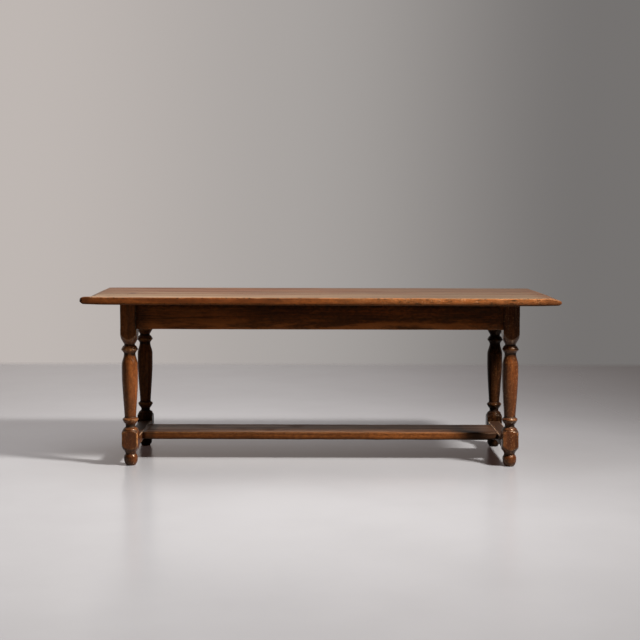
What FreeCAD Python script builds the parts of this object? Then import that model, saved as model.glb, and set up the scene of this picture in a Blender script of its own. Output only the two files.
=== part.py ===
import FreeCAD, Part
import os
import Sketcher

# Joined refectory table: a plank top on a frame of four turned legs, apron rails and low stretchers.
# Millimetres, +Z up, the origin on the floor under the middle of the top, the front towards -Y.
SIZES = [
    # The top
    ("table_height", "765", "floor to the top face"),
    ("top_length", "2090", "left end to right end"),
    ("top_width", "785", "front edge to back edge; the back board takes what the other two leave"),
    ("top_thickness", "34", "thickness of the boards"),
    ("front_board", "278", "width of the front board"),
    ("middle_board", "168", "width of the middle board"),
    ("board_gap", "1", "open joint between two boards"),
    ("end_skew", "12", "how far the back corners sit to the left of the front ones"),
    ("corner_round", "20", "corner radius in plan"),
    ("upper_round", "15", "radius of the upper arris"),
    ("lower_round", "11", "radius of the lower arris"),
    ("dowel_diameter", "14", "dowels between the boards"),
    ("dowel_length", "80", "half in each board"),
    ("dowel_pitch", "400", "spacing of the dowels"),
    # The frame
    ("end_overhang", "158", "top beyond the legs at each end"),
    ("side_overhang", "113", "top beyond the legs at the front and the back"),
    ("apron_height", "114", "height of the rails"),
    ("apron_thickness", "28", "thickness of the rails"),
    ("apron_setback", "2", "rail face behind the leg face"),
    ("tenon_thickness", "12", "thickness of the rail tenons"),
    ("tenon_haunch", "35", "shoulder above a rail tenon"),
    ("tenon_toe", "4", "shoulder below a rail tenon"),
    ("tenon_wall", "6", "wood left between the two mortises of a leg"),
    ("stretcher_width", "58", "width of the end stretchers"),
    ("stretcher_height", "45", "height of the end stretchers"),
    ("stretcher_setback", "1", "inner face behind the leg's inner face"),
    ("stretcher_drop", "19.5", "top face below the top of the lower block"),
    ("stretcher_tenon_length", "45", "tenon in the lower block"),
    ("stretcher_tenon_thickness", "18", "tenon in the lower block"),
    ("stretcher_tenon_height", "28", "tenon in the lower block"),
    ("footrest_width", "228", "width of the foot board"),
    ("footrest_thickness", "31", "thickness of the foot board"),
    ("footrest_tenon_length", "34", "tenon in the stretcher"),
    ("footrest_tenon_width", "58", "tenon in the stretcher"),
    ("footrest_tenon_thickness", "12", "tenon in the stretcher"),
    ("footrest_tenon_inset", "23", "tenon from the edge of the foot board"),
    ("bearer_width", "46", "cross bearer under the top"),
    ("bearer_height", "58", "cross bearer under the top"),
    ("bearer_tenon_length", "14", "stub tenon in the long rail"),
    ("bearer_tenon_thickness", "16", "stub tenon in the long rail"),
    ("bearer_tenon_height", "34", "stub tenon in the long rail"),
    ("rail_round", "3", "worn arrises of rails and stretchers"),
    ("footrest_round", "6", "worn arrises of the foot board"),
    # The pegs
    ("peg_diameter", "9", "pegs of the frame"),
    ("peg_setback", "11", "peg axis from the tenon's shoulder"),
    ("peg_margin", "12", "apron peg from the edge of its tenon"),
    ("peg_bite", "14", "reach of a peg past its tenon"),
    ("peg_stand", "1", "head proud of the leg"),
    ("top_peg_diameter", "10", "pegs of the top"),
    ("top_peg_bite", "42", "reach of a top peg into the frame"),
    # The turned leg, from the floor up
    ("block_side", "70", "side of the square blocks"),
    ("sole_diameter", "43", "flat under the ball foot"),
    ("foot_height", "54", "ball foot"),
    ("foot_diameter", "63", "ball foot at its middle"),
    ("ankle_diameter", "48", "neck above the ball foot"),
    ("foot_shoulder", "37", "cove from the ankle to the lower block"),
    ("cove_diameter", "66", "cove at its middle"),
    ("low_block", "56", "straight arrises of the lower block"),
    ("bead_shoulder", "13", "slope from the lower block to the bead"),
    ("bead_height", "14", "bead on the lower block"),
    ("bead_diameter", "68", "bead at its foot"),
    ("bead_crown_diameter", "61", "bead at half its height"),
    ("waist_height", "12", "neck above the bead"),
    ("waist_diameter", "43", "neck above the bead"),
    ("skirt_height", "15", "slope under the ring"),
    ("ring_height", "12", "round part of the ring"),
    ("ring_diameter", "71", "ring at its middle"),
    ("ring_edge_diameter", "65", "where the round part starts"),
    ("ring_cap", "6", "slope from the ring to the vase"),
    ("vase_foot_diameter", "51.5", "lower end of the vase"),
    ("vase_middle_diameter", "64.5", "vase half way up to its belly"),
    ("belly_diameter", "72.4", "widest part of the vase"),
    ("vase_shoulder_diameter", "67", "middle of the vase's shoulder"),
    ("vase_neck_diameter", "51", "upper end of the vase"),
    ("collar_slope", "12", "slope on each side of the collar"),
    ("collar_height", "13", "round part of the collar"),
    ("collar_diameter", "72", "collar at its middle"),
    ("collar_edge_diameter", "66", "where the round part starts"),
    ("throat_height", "9", "neck above the collar"),
    ("throat_diameter", "46", "neck above the collar"),
    ("top_shoulder", "45", "slope from the throat to the top block"),
    ("block_reveal", "20", "straight arris of the top block below the rails"),
    ("turning_allowance", "1.5", "stock beyond the corners of the blocks"),
    # Clearances
    ("tenon_clearance", "0.2", "all round a tenon"),
    ("tenon_end_gap", "2", "beyond the end of a tenon"),
    ("peg_clearance", "0.1", "all round a peg or dowel"),
    ("peg_end_gap", "2", "beyond the end of a peg or dowel"),
]

DOWELS_PER_JOINT = 4
# Height of the belly as a share of the vase, which fills what the other turnings leave of the leg
BELLY_SHARE = 0.76
# The most of a board's thickness that its rounded arrises may take
UPPER_SHARE = 0.5
LOWER_SHARE = 0.35
FOOTREST_SHARE = 0.3
# How far a cut starts outside the wood
OVERCUT = 1

doc = FreeCAD.newDocument("refectory_table")
sheet = doc.addObject("Spreadsheet::Sheet", "sizes")
for row, (alias, amount, note) in enumerate(SIZES, 1):
    sheet.set(f"A{row}", note)
    sheet.set(f"B{row}", amount)
    sheet.setAlias(f"B{row}", alias)
doc.recompute()

# Levels, faces and diameters that several pieces share, as expressions on the sheet
PEG = "sizes.peg_diameter"
TOP_PEG = "sizes.top_peg_diameter"
DOWEL = "sizes.dowel_diameter"
LEG_TOP = "(sizes.table_height - sizes.top_thickness)"
APRON_BASE = f"({LEG_TOP} - sizes.apron_height)"
HALF_BLOCK = "(sizes.block_side / 2)"
OUTER_X = "(sizes.top_length / 2 - sizes.end_overhang)"
OUTER_Y = "(sizes.top_width / 2 - sizes.side_overhang)"
LEG_X = f"({OUTER_X} - {HALF_BLOCK})"
LEG_Y = f"({OUTER_Y} - {HALF_BLOCK})"
INNER_X = f"({OUTER_X} - sizes.block_side)"
INNER_Y = f"({OUTER_Y} - sizes.block_side)"
APRON_MID_X = f"({OUTER_X} - sizes.apron_setback - sizes.apron_thickness / 2)"
APRON_MID_Y = f"({OUTER_Y} - sizes.apron_setback - sizes.apron_thickness / 2)"
APRON_INNER_Y = f"({OUTER_Y} - sizes.apron_setback - sizes.apron_thickness)"
TENON_REACH = "(sizes.apron_setback + sizes.apron_thickness / 2 + sizes.tenon_thickness / 2)"
TENON_LENGTH = f"(sizes.block_side - {TENON_REACH} - sizes.tenon_wall - sizes.tenon_end_gap)"
TENON_BASE = f"({APRON_BASE} + sizes.tenon_toe)"
TENON_HEIGHT = "(sizes.apron_height - sizes.tenon_toe - sizes.tenon_haunch)"
PEG_LEVELS = [f"({TENON_BASE} + sizes.peg_margin)", f"({TENON_BASE} + {TENON_HEIGHT} - sizes.peg_margin)"]
PEG_LINE_X = f"({INNER_X} + sizes.peg_setback)"
PEG_LINE_Y = f"({INNER_Y} + sizes.peg_setback)"
PEG_HEAD_X = f"({OUTER_X} + sizes.peg_stand)"
PEG_HEAD_Y = f"({OUTER_Y} + sizes.peg_stand)"
APRON_PEG_LENGTH = f"({TENON_REACH} + sizes.peg_bite)"

LOW_BLOCK_BASE = "(sizes.foot_height + sizes.foot_shoulder)"
LOW_BLOCK_TOP = f"({LOW_BLOCK_BASE} + sizes.low_block)"
STRETCHER_TOP = f"({LOW_BLOCK_TOP} - sizes.stretcher_drop)"
STRETCHER_BASE = f"({STRETCHER_TOP} - sizes.stretcher_height)"
STRETCHER_MID_Z = f"({STRETCHER_TOP} - sizes.stretcher_height / 2)"
STRETCHER_FACE = f"({INNER_X} + sizes.stretcher_setback)"
STRETCHER_MID_X = f"({STRETCHER_FACE} + sizes.stretcher_width / 2)"
STRETCHER_TENON_FAR = f"({STRETCHER_MID_X} - sizes.stretcher_tenon_thickness / 2)"
STRETCHER_PEG_LENGTH = f"({OUTER_X} - {STRETCHER_TENON_FAR} + sizes.peg_bite)"
FOOTREST_BASE = f"({STRETCHER_TOP} - sizes.footrest_thickness)"
FOOTREST_MID_Z = f"({STRETCHER_TOP} - sizes.footrest_thickness / 2)"
FOOTREST_PEG_X = f"({STRETCHER_FACE} + sizes.peg_setback)"
FOOTREST_PEG_LENGTH = "(sizes.footrest_thickness / 2 + sizes.footrest_tenon_thickness / 2 + sizes.peg_bite)"

FRONT_EDGE = "(-sizes.top_width / 2)"
BACK_EDGE = "(sizes.top_width / 2)"
FRONT_JOINT = f"({FRONT_EDGE} + sizes.front_board)"
MIDDLE_FRONT = f"({FRONT_JOINT} + sizes.board_gap)"
MIDDLE_BACK = f"({MIDDLE_FRONT} + sizes.middle_board)"
BACK_JOINT = f"({MIDDLE_BACK} + sizes.board_gap)"
BOARD_MID_Z = "(sizes.table_height - sizes.top_thickness / 2)"
# The top's outer boards are pegged midway between their joint and the legs
TOP_PEG_Y = {
    "front": f"(({FRONT_JOINT} - {INNER_Y}) / 2)",
    "middle": f"(({MIDDLE_FRONT} + {MIDDLE_BACK}) / 2)",
    "back": f"(({BACK_JOINT} + {INNER_Y}) / 2)",
}
TOP_PEG_X = [f"(-{APRON_MID_X})", "0", APRON_MID_X]
TOP_PEG_LENGTH = "(sizes.top_thickness + sizes.top_peg_bite)"

# A primitive's own axis is +Z; these turns point it along the table's other axes
UPRIGHT = FreeCAD.Rotation()
TOWARDS_FRONT = FreeCAD.Rotation(FreeCAD.Vector(1, 0, 0), 90)
TOWARDS_LEFT = FreeCAD.Rotation(FreeCAD.Vector(0, 1, 0), -90)

pieces = []


def register(piece, name):
    piece.Label = name
    pieces.append(piece)
    return piece


def place(item, spot, turn=UPRIGHT):
    item.Placement = FreeCAD.Placement(FreeCAD.Vector(), turn)
    for axis, amount in zip("xyz", spot):
        item.setExpression(f"Placement.Base.{axis}", amount)


def block(body, kind, name, low, span):
    item = body.newObject(f"PartDesign::{kind}Box", name)
    for side, amount in zip(("Length", "Width", "Height"), span):
        item.setExpression(side, amount)
    place(item, low)
    return item


def bore(body, name, diameter, start, length, turn):
    item = body.newObject("PartDesign::SubtractiveCylinder", name)
    item.setExpression("Radius", f"{diameter} / 2 + sizes.peg_clearance")
    item.setExpression("Height", length)
    place(item, start, turn)
    return item


def soften(body, name, radius, chosen):
    # Rounds the edges of the body's last feature whose middle point passes the test
    doc.recompute()
    base = body.Tip
    found = []
    for count, edge in enumerate(base.Shape.Edges, 1):
        middle = edge.valueAt((edge.FirstParameter + edge.LastParameter) / 2)
        if chosen(middle):
            found.append(f"Edge{count}")
    item = body.newObject("PartDesign::Fillet", name)
    item.Base = (base, found)
    item.setExpression("Radius", radius)
    return item


def value(expression):
    return float(sheet.evalExpression(expression))


def near(first, second):
    return abs(first - second) < 0.01


def sketch_on(body, role, name, height="0"):
    plane = next(item for item in body.Origin.OriginFeatures if item.Role == role)
    sketch = body.newObject("Sketcher::SketchObject", name)
    sketch.AttachmentSupport = [(plane, "")]
    sketch.MapMode = "FlatFace"
    sketch.setExpression("AttachmentOffset.Base.z", height)
    return sketch


def pin(sketch, curve, end, spot):
    # Ties one point of a curve to its two coordinates, each an expression
    for kind, axis, amount in (("DistanceX", -2, spot[0]), ("DistanceY", -1, spot[1])):
        length = value(amount)
        if near(length, 0):
            sketch.addConstraint(Sketcher.Constraint("PointOnObject", curve, end, axis))
            continue
        if length > 0:
            rule = Sketcher.Constraint(kind, -1, 1, curve, end, length)
            amount_shown = amount
        else:
            rule = Sketcher.Constraint(kind, curve, end, -1, 1, -length)
            amount_shown = f"-({amount})"
        number = sketch.addConstraint(rule)
        sketch.setExpression(f"Constraints[{number}]", amount_shown)


def outline(sketch, corners):
    # A closed outline through its corners, each (x, y). A corner may have a third item:
    # a point that the run from it to the next corner bends through
    spots = [FreeCAD.Vector(value(corner[0]), value(corner[1]), 0) for corner in corners]
    runs = []
    for count, corner in enumerate(corners):
        start = spots[count]
        finish = spots[(count + 1) % len(spots)]
        if len(corner) == 2:
            curve = sketch.addGeometry(Part.LineSegment(start, finish), False)
            runs.append((curve, 1, 2))
            continue
        bend = corner[2]
        through = FreeCAD.Vector(value(bend[0]), value(bend[1]), 0)
        curve = sketch.addGeometry(Part.Arc(start, through, finish), False)
        forward = sketch.getPoint(curve, 1).isEqual(start, 0.001)
        runs.append((curve, 1, 2) if forward else (curve, 2, 1))
        marker = sketch.addGeometry(Part.Point(through), True)
        pin(sketch, marker, 1, bend)
        sketch.addConstraint(Sketcher.Constraint("PointOnObject", marker, 1, curve))
    for count, corner in enumerate(corners):
        curve, start, finish = runs[count]
        last_curve, last_start, last_finish = runs[count - 1]
        sketch.addConstraint(Sketcher.Constraint("Coincident", last_curve, last_finish, curve, start))
        pin(sketch, curve, start, corner)


def square(side):
    half = f"({side}) / 2"
    return [(f"-{half}", f"-{half}"), (half, f"-{half}"), (half, half), (f"-{half}", half)]


def leg_profile():
    # Half of the turned shape, in radius and height, from the middle of the sole up to the middle of the top
    def radius(name):
        return f"sizes.{name} / 2"

    turned = f"({HALF_BLOCK} * sqrt(2) + sizes.turning_allowance)"
    waist_base = f"({LOW_BLOCK_TOP} + sizes.bead_shoulder + sizes.bead_height)"
    skirt_base = f"({waist_base} + sizes.waist_height)"
    ring_base = f"({skirt_base} + sizes.skirt_height)"
    ring_top = f"({ring_base} + sizes.ring_height)"
    vase_base = f"({ring_top} + sizes.ring_cap)"
    block_base = f"({APRON_BASE} - sizes.block_reveal)"
    throat_top = f"({block_base} - sizes.top_shoulder)"
    throat_base = f"({throat_top} - sizes.throat_height)"
    collar_top = f"({throat_base} - sizes.collar_slope)"
    collar_base = f"({collar_top} - sizes.collar_height)"
    vase_top = f"({collar_base} - sizes.collar_slope)"
    belly = f"({vase_base} + ({vase_top} - {vase_base}) * {BELLY_SHARE})"
    bead_base = f"({LOW_BLOCK_TOP} + sizes.bead_shoulder)"
    return [
        ("0", "0"),
        (radius("sole_diameter"), "0", (radius("foot_diameter"), "sizes.foot_height / 2")),
        (radius("ankle_diameter"), "sizes.foot_height",
         (radius("cove_diameter"), "sizes.foot_height + sizes.foot_shoulder / 2")),
        (turned, LOW_BLOCK_BASE),
        (turned, LOW_BLOCK_TOP),
        (radius("bead_diameter"), bead_base,
         (radius("bead_crown_diameter"), f"{bead_base} + sizes.bead_height / 2")),
        (radius("waist_diameter"), waist_base),
        (radius("waist_diameter"), skirt_base),
        (radius("ring_edge_diameter"), ring_base,
         (radius("ring_diameter"), f"{ring_base} + sizes.ring_height / 2")),
        (radius("ring_edge_diameter"), ring_top),
        (radius("vase_foot_diameter"), vase_base,
         (radius("vase_middle_diameter"), f"({vase_base} + {belly}) / 2")),
        (radius("belly_diameter"), belly,
         (radius("vase_shoulder_diameter"), f"({belly} + {vase_top}) / 2")),
        (radius("vase_neck_diameter"), vase_top),
        (radius("collar_edge_diameter"), collar_base,
         (radius("collar_diameter"), f"{collar_base} + sizes.collar_height / 2")),
        (radius("collar_edge_diameter"), collar_top),
        (radius("throat_diameter"), throat_base),
        (radius("throat_diameter"), throat_top),
        (turned, block_base),
        (turned, LEG_TOP),
        ("0", LEG_TOP),
    ]


def square_off(body, name, base, height):
    # Takes the turned stock outside the square of a block away, from base up
    sketch = sketch_on(body, "XY_Plane", f"{name}_sketch", base)
    outline(sketch, square("sizes.block_side * 2"))
    outline(sketch, square("sizes.block_side"))
    cut = body.newObject("PartDesign::Pocket", name)
    cut.Profile = sketch
    cut.Reversed = True
    cut.setExpression("Length", height)
    return cut


def make_leg():
    # The leg at the back right, in its own frame on the leg's axis; its inner faces look to -X and -Y
    body = register(doc.addObject("PartDesign::Body", "leg"), "leg_back_right")
    profile = sketch_on(body, "XZ_Plane", "leg_profile")
    outline(profile, leg_profile())
    turning = body.newObject("PartDesign::Revolution", "leg_turning")
    turning.Profile = profile
    turning.ReferenceAxis = (profile, ["V_Axis"])
    turning.Angle = 360
    bead_top = f"({LOW_BLOCK_TOP} + sizes.bead_shoulder + sizes.bead_height)"
    throat_top = f"({APRON_BASE} - sizes.block_reveal - sizes.top_shoulder)"
    square_off(body, "leg_low_block", "sizes.foot_height", f"{bead_top} - sizes.foot_height")
    square_off(body, "leg_top_block", throat_top, f"{LEG_TOP} - {throat_top}")

    room = "sizes.tenon_clearance"
    depth = f"({TENON_LENGTH} + sizes.tenon_end_gap)"
    across = f"({HALF_BLOCK} - {TENON_REACH} - {room})"
    thick = f"sizes.tenon_thickness + 2 * {room}"
    level = f"{TENON_BASE} - {room}"
    tall = f"{TENON_HEIGHT} + 2 * {room}"
    block(body, "Subtractive", "leg_mortise_long", (f"-{HALF_BLOCK}", across, level), (depth, thick, tall))
    block(body, "Subtractive", "leg_mortise_short", (across, f"-{HALF_BLOCK}", level), (thick, depth, tall))
    stretcher_depth = "sizes.stretcher_tenon_length + sizes.tenon_end_gap"
    block(body, "Subtractive", "leg_mortise_stretcher",
          (f"{STRETCHER_MID_X} - {LEG_X} - sizes.stretcher_tenon_thickness / 2 - {room}", f"-{HALF_BLOCK}",
           f"{STRETCHER_MID_Z} - sizes.stretcher_tenon_height / 2 - {room}"),
          (f"sizes.stretcher_tenon_thickness + 2 * {room}", stretcher_depth,
           f"sizes.stretcher_tenon_height + 2 * {room}"))

    peg_line = f"sizes.peg_setback - {HALF_BLOCK}"
    outside = f"{HALF_BLOCK} + {OVERCUT}"
    deep = f"{APRON_PEG_LENGTH} + sizes.peg_end_gap + {OVERCUT}"
    for count, rise in enumerate(PEG_LEVELS):
        bore(body, f"leg_peg_long_{count}", PEG, (peg_line, outside, rise), deep, TOWARDS_FRONT)
        bore(body, f"leg_peg_short_{count}", PEG, (outside, peg_line, rise), deep, TOWARDS_LEFT)
    bore(body, "leg_peg_stretcher", PEG, (outside, peg_line, STRETCHER_MID_Z),
         f"{STRETCHER_PEG_LENGTH} + sizes.peg_end_gap + {OVERCUT}", TOWARDS_LEFT)
    place(body, (LEG_X, LEG_Y, "0"))
    return body


def make_long_apron():
    # The back rail, with a tenon at each end and a mortise for the bearer
    body = register(doc.addObject("PartDesign::Body", "long_apron"), "apron_back")
    half = "sizes.apron_thickness / 2"
    block(body, "Additive", "long_rail", (f"-{INNER_X}", f"{APRON_MID_Y} - {half}", APRON_BASE),
          (f"2 * {INNER_X}", "sizes.apron_thickness", "sizes.apron_height"))
    base = value(APRON_BASE)
    soften(body, "long_rail_arris", "sizes.rail_round", lambda spot: near(spot.z, base) and near(spot.x, 0))
    reach = f"({INNER_X} + {TENON_LENGTH})"
    block(body, "Additive", "long_tenons",
          (f"-{reach}", f"{APRON_MID_Y} - sizes.tenon_thickness / 2", TENON_BASE),
          (f"2 * {reach}", "sizes.tenon_thickness", TENON_HEIGHT))
    room = "sizes.tenon_clearance"
    block(body, "Subtractive", "long_bearer_mortise",
          (f"-sizes.bearer_tenon_thickness / 2 - {room}", APRON_INNER_Y,
           f"{LEG_TOP} - sizes.bearer_height / 2 - sizes.bearer_tenon_height / 2 - {room}"),
          (f"sizes.bearer_tenon_thickness + 2 * {room}", "sizes.bearer_tenon_length + sizes.tenon_end_gap",
           f"sizes.bearer_tenon_height + 2 * {room}"))
    for count, rise in enumerate(PEG_LEVELS):
        for side, spot in (("left", f"-{PEG_LINE_X}"), ("right", PEG_LINE_X)):
            bore(body, f"long_peg_{side}_{count}", PEG, (spot, OUTER_Y, rise),
                 f"2 * ({OUTER_Y} - {APRON_MID_Y})", TOWARDS_FRONT)
    return body


def make_short_apron():
    # The right rail, with a tenon at each end and the holes of the top's pegs
    body = register(doc.addObject("PartDesign::Body", "short_apron"), "apron_right")
    half = "sizes.apron_thickness / 2"
    block(body, "Additive", "short_rail", (f"{APRON_MID_X} - {half}", f"-{INNER_Y}", APRON_BASE),
          ("sizes.apron_thickness", f"2 * {INNER_Y}", "sizes.apron_height"))
    base = value(APRON_BASE)
    soften(body, "short_rail_arris", "sizes.rail_round", lambda spot: near(spot.z, base) and near(spot.y, 0))
    reach = f"({INNER_Y} + {TENON_LENGTH})"
    block(body, "Additive", "short_tenons",
          (f"{APRON_MID_X} - sizes.tenon_thickness / 2", f"-{reach}", TENON_BASE),
          ("sizes.tenon_thickness", f"2 * {reach}", TENON_HEIGHT))
    for count, rise in enumerate(PEG_LEVELS):
        for side, spot in (("front", f"-{PEG_LINE_Y}"), ("back", PEG_LINE_Y)):
            bore(body, f"short_peg_{side}_{count}", PEG, (OUTER_X, spot, rise),
                 f"2 * ({OUTER_X} - {APRON_MID_X})", TOWARDS_LEFT)
    for board, spot in TOP_PEG_Y.items():
        drill_for_top_peg(body, f"short_top_peg_{board}", APRON_MID_X, spot)
    return body


def drill_for_top_peg(body, name, across, along):
    foot = f"{LEG_TOP} - sizes.top_peg_bite - sizes.peg_end_gap"
    bore(body, name, TOP_PEG, (across, along, foot),
         f"sizes.top_peg_bite + sizes.peg_end_gap + {OVERCUT}", UPRIGHT)


def make_bearer():
    # The cross bearer under the middle of the top, between the long rails
    body = register(doc.addObject("PartDesign::Body", "bearer"), "top_bearer")
    block(body, "Additive", "bearer_bar",
          ("-sizes.bearer_width / 2", f"-{APRON_INNER_Y}", f"{LEG_TOP} - sizes.bearer_height"),
          ("sizes.bearer_width", f"2 * {APRON_INNER_Y}", "sizes.bearer_height"))
    base = value(f"{LEG_TOP} - sizes.bearer_height")
    soften(body, "bearer_arris", "sizes.rail_round", lambda spot: near(spot.z, base) and near(spot.y, 0))
    reach = f"({APRON_INNER_Y} + sizes.bearer_tenon_length)"
    block(body, "Additive", "bearer_tenons",
          ("-sizes.bearer_tenon_thickness / 2", f"-{reach}",
           f"{LEG_TOP} - sizes.bearer_height / 2 - sizes.bearer_tenon_height / 2"),
          ("sizes.bearer_tenon_thickness", f"2 * {reach}", "sizes.bearer_tenon_height"))
    for board, spot in TOP_PEG_Y.items():
        drill_for_top_peg(body, f"bearer_top_peg_{board}", "0", spot)
    return body


def footrest_tenon_lines():
    # The middle lines of the foot board's front and back tenons
    line = "(sizes.footrest_width / 2 - sizes.footrest_tenon_inset - sizes.footrest_tenon_width / 2)"
    return (("front", f"-{line}"), ("back", line))


def make_stretcher():
    # The right end stretcher, tenoned into the lower blocks, with mortises for the foot board
    body = register(doc.addObject("PartDesign::Body", "stretcher"), "stretcher_right")
    block(body, "Additive", "stretcher_bar", (STRETCHER_FACE, f"-{INNER_Y}", STRETCHER_BASE),
          ("sizes.stretcher_width", f"2 * {INNER_Y}", "sizes.stretcher_height"))
    soften(body, "stretcher_arris", "sizes.rail_round", lambda spot: near(spot.y, 0))
    reach = f"({INNER_Y} + sizes.stretcher_tenon_length)"
    block(body, "Additive", "stretcher_tenons",
          (f"{STRETCHER_MID_X} - sizes.stretcher_tenon_thickness / 2", f"-{reach}",
           f"{STRETCHER_MID_Z} - sizes.stretcher_tenon_height / 2"),
          ("sizes.stretcher_tenon_thickness", f"2 * {reach}", "sizes.stretcher_tenon_height"))
    room = "sizes.tenon_clearance"
    for side, line in footrest_tenon_lines():
        block(body, "Subtractive", f"stretcher_mortise_{side}",
              (STRETCHER_FACE, f"{line} - sizes.footrest_tenon_width / 2 - {room}",
               f"{FOOTREST_MID_Z} - sizes.footrest_tenon_thickness / 2 - {room}"),
              ("sizes.footrest_tenon_length + sizes.tenon_end_gap",
               f"sizes.footrest_tenon_width + 2 * {room}",
               f"sizes.footrest_tenon_thickness + 2 * {room}"))
        bore(body, f"stretcher_footrest_peg_{side}", PEG,
             (FOOTREST_PEG_X, line, f"{STRETCHER_TOP} - {FOOTREST_PEG_LENGTH} - sizes.peg_end_gap"),
             f"{FOOTREST_PEG_LENGTH} + sizes.peg_end_gap + {OVERCUT}", UPRIGHT)
    for side, spot in (("front", f"-{PEG_LINE_Y}"), ("back", PEG_LINE_Y)):
        bore(body, f"stretcher_peg_{side}", PEG, (OUTER_X, spot, STRETCHER_MID_Z),
             f"{STRETCHER_PEG_LENGTH} + sizes.peg_end_gap", TOWARDS_LEFT)
    return body


def make_footrest():
    # The foot board between the stretchers, with two tenons at each end
    body = register(doc.addObject("PartDesign::Body", "footrest"), "footrest_board")
    half = "sizes.footrest_width / 2"
    block(body, "Additive", "footrest_plank", (f"-{STRETCHER_FACE}", f"-{half}", FOOTREST_BASE),
          (f"2 * {STRETCHER_FACE}", "sizes.footrest_width", "sizes.footrest_thickness"))
    soften(body, "footrest_arris", f"min(sizes.footrest_round; sizes.footrest_thickness * {FOOTREST_SHARE})",
           lambda spot: near(spot.x, 0))
    reach = f"({STRETCHER_FACE} + sizes.footrest_tenon_length)"
    for side, line in footrest_tenon_lines():
        block(body, "Additive", f"footrest_tenons_{side}",
              (f"-{reach}", f"{line} - sizes.footrest_tenon_width / 2",
               f"{FOOTREST_MID_Z} - sizes.footrest_tenon_thickness / 2"),
              (f"2 * {reach}", "sizes.footrest_tenon_width", "sizes.footrest_tenon_thickness"))
        for end, spot in (("left", f"-{FOOTREST_PEG_X}"), ("right", FOOTREST_PEG_X)):
            bore(body, f"footrest_peg_{side}_{end}", PEG, (spot, line, FOOTREST_BASE),
                 "sizes.footrest_thickness", UPRIGHT)
    return body


def end_line(side, depth):
    # Where the slanted end of the top stands at a given depth
    return f"({side}sizes.top_length / 2 - sizes.end_skew * ({depth}) / sizes.top_width)"


def make_board(which, front, back, joints):
    # One board of the top; joints are its edges that meet another board, and its other edges are rounded
    body = register(doc.addObject("PartDesign::Body", f"board_{which}"), f"top_board_{which}")
    plan = sketch_on(body, "XY_Plane", f"board_{which}_plan", LEG_TOP)
    outline(plan, [(end_line("-", front), front), (end_line("", front), front),
                   (end_line("", back), back), (end_line("-", back), back)])
    pad = body.newObject("PartDesign::Pad", f"board_{which}_pad")
    pad.Profile = plan
    pad.setExpression("Length", "sizes.top_thickness")
    joint_lines = [value(joint) for joint in joints]
    low = value(LEG_TOP)
    high = value("sizes.table_height")

    def away_from_joints(spot):
        return not any(near(spot.y, line) for line in joint_lines)

    outer_edge = [value(line) for line in (front, back) if line not in joints]
    if outer_edge:
        soften(body, f"board_{which}_corners", "sizes.corner_round",
               lambda spot: near(spot.y, outer_edge[0]) and low + 1 < spot.z < high - 1)
    soften(body, f"board_{which}_upper", f"min(sizes.upper_round; sizes.top_thickness * {UPPER_SHARE})",
           lambda spot: near(spot.z, high) and away_from_joints(spot))
    soften(body, f"board_{which}_lower", f"min(sizes.lower_round; sizes.top_thickness * {LOWER_SHARE})",
           lambda spot: near(spot.z, low) and away_from_joints(spot))

    deep = "(sizes.dowel_length / 2 + sizes.peg_end_gap)"
    for joint in joints:
        # The hole runs from inside the board to the joint, or from the joint inwards
        start = f"{joint} + {deep}" if joint == front else joint
        for count, spot in enumerate(dowel_spots()):
            name = f"board_{which}_dowel_{joints.index(joint)}_{count}"
            bore(body, name, DOWEL, (spot, start, BOARD_MID_Z), deep, TOWARDS_FRONT)
    for count, spot in enumerate(TOP_PEG_X):
        bore(body, f"board_{which}_peg_{count}", TOP_PEG, (spot, TOP_PEG_Y[which], LEG_TOP),
             "sizes.top_thickness", UPRIGHT)
    return body


def dowel_spots():
    middle = (DOWELS_PER_JOINT - 1) / 2
    return [f"({count - middle} * sizes.dowel_pitch)" for count in range(DOWELS_PER_JOINT)]


def rod(name, diameter, start, length, turn):
    item = doc.addObject("Part::Cylinder", name)
    item.setExpression("Radius", f"{diameter} / 2")
    item.setExpression("Height", length)
    place(item, start, turn)
    return item


def group(name, rods):
    bundle = register(doc.addObject("Part::Compound", f"{name}_group"), name)
    bundle.Links = rods
    return bundle


def mirrored(source, name, axis):
    # The same piece on the other side of the table
    copy = register(doc.addObject("Part::Mirroring", f"{name}_mirror"), name)
    copy.Source = source
    copy.Normal = FreeCAD.Vector(1, 0, 0) if axis == "x" else FreeCAD.Vector(0, 1, 0)
    return copy


def make_dowels(which, joint, gap_side):
    middle = f"{joint} + {gap_side} * sizes.board_gap / 2 + sizes.dowel_length / 2"
    rods = [rod(f"dowel_{which}_{count}", DOWEL, (spot, middle, BOARD_MID_Z),
                "sizes.dowel_length", TOWARDS_FRONT) for count, spot in enumerate(dowel_spots())]
    return group(f"edge_dowels_{which}", rods)


def make_apron_pegs():
    # The back and right rails' pegs, from proud of the leg's face to past the tenon
    length = f"{APRON_PEG_LENGTH} + sizes.peg_stand"
    back_rods = []
    right_rods = []
    for rise in PEG_LEVELS:
        for side in ("-", ""):
            number = len(back_rods)
            back_spot = (f"{side}{PEG_LINE_X}", PEG_HEAD_Y, rise)
            right_spot = (PEG_HEAD_X, f"{side}{PEG_LINE_Y}", rise)
            back_rods.append(rod(f"peg_back_{number}", PEG, back_spot, length, TOWARDS_FRONT))
            right_rods.append(rod(f"peg_right_{number}", PEG, right_spot, length, TOWARDS_LEFT))
    return group("apron_pegs_back", back_rods), group("apron_pegs_right", right_rods)


def make_stretcher_pegs():
    length = f"{STRETCHER_PEG_LENGTH} + sizes.peg_stand"
    rods = [rod(f"stretcher_peg_rod_{count}", PEG, (PEG_HEAD_X, f"{side}{PEG_LINE_Y}", STRETCHER_MID_Z),
                length, TOWARDS_LEFT) for count, side in enumerate(("-", ""))]
    return group("stretcher_pegs_right", rods)


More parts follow.
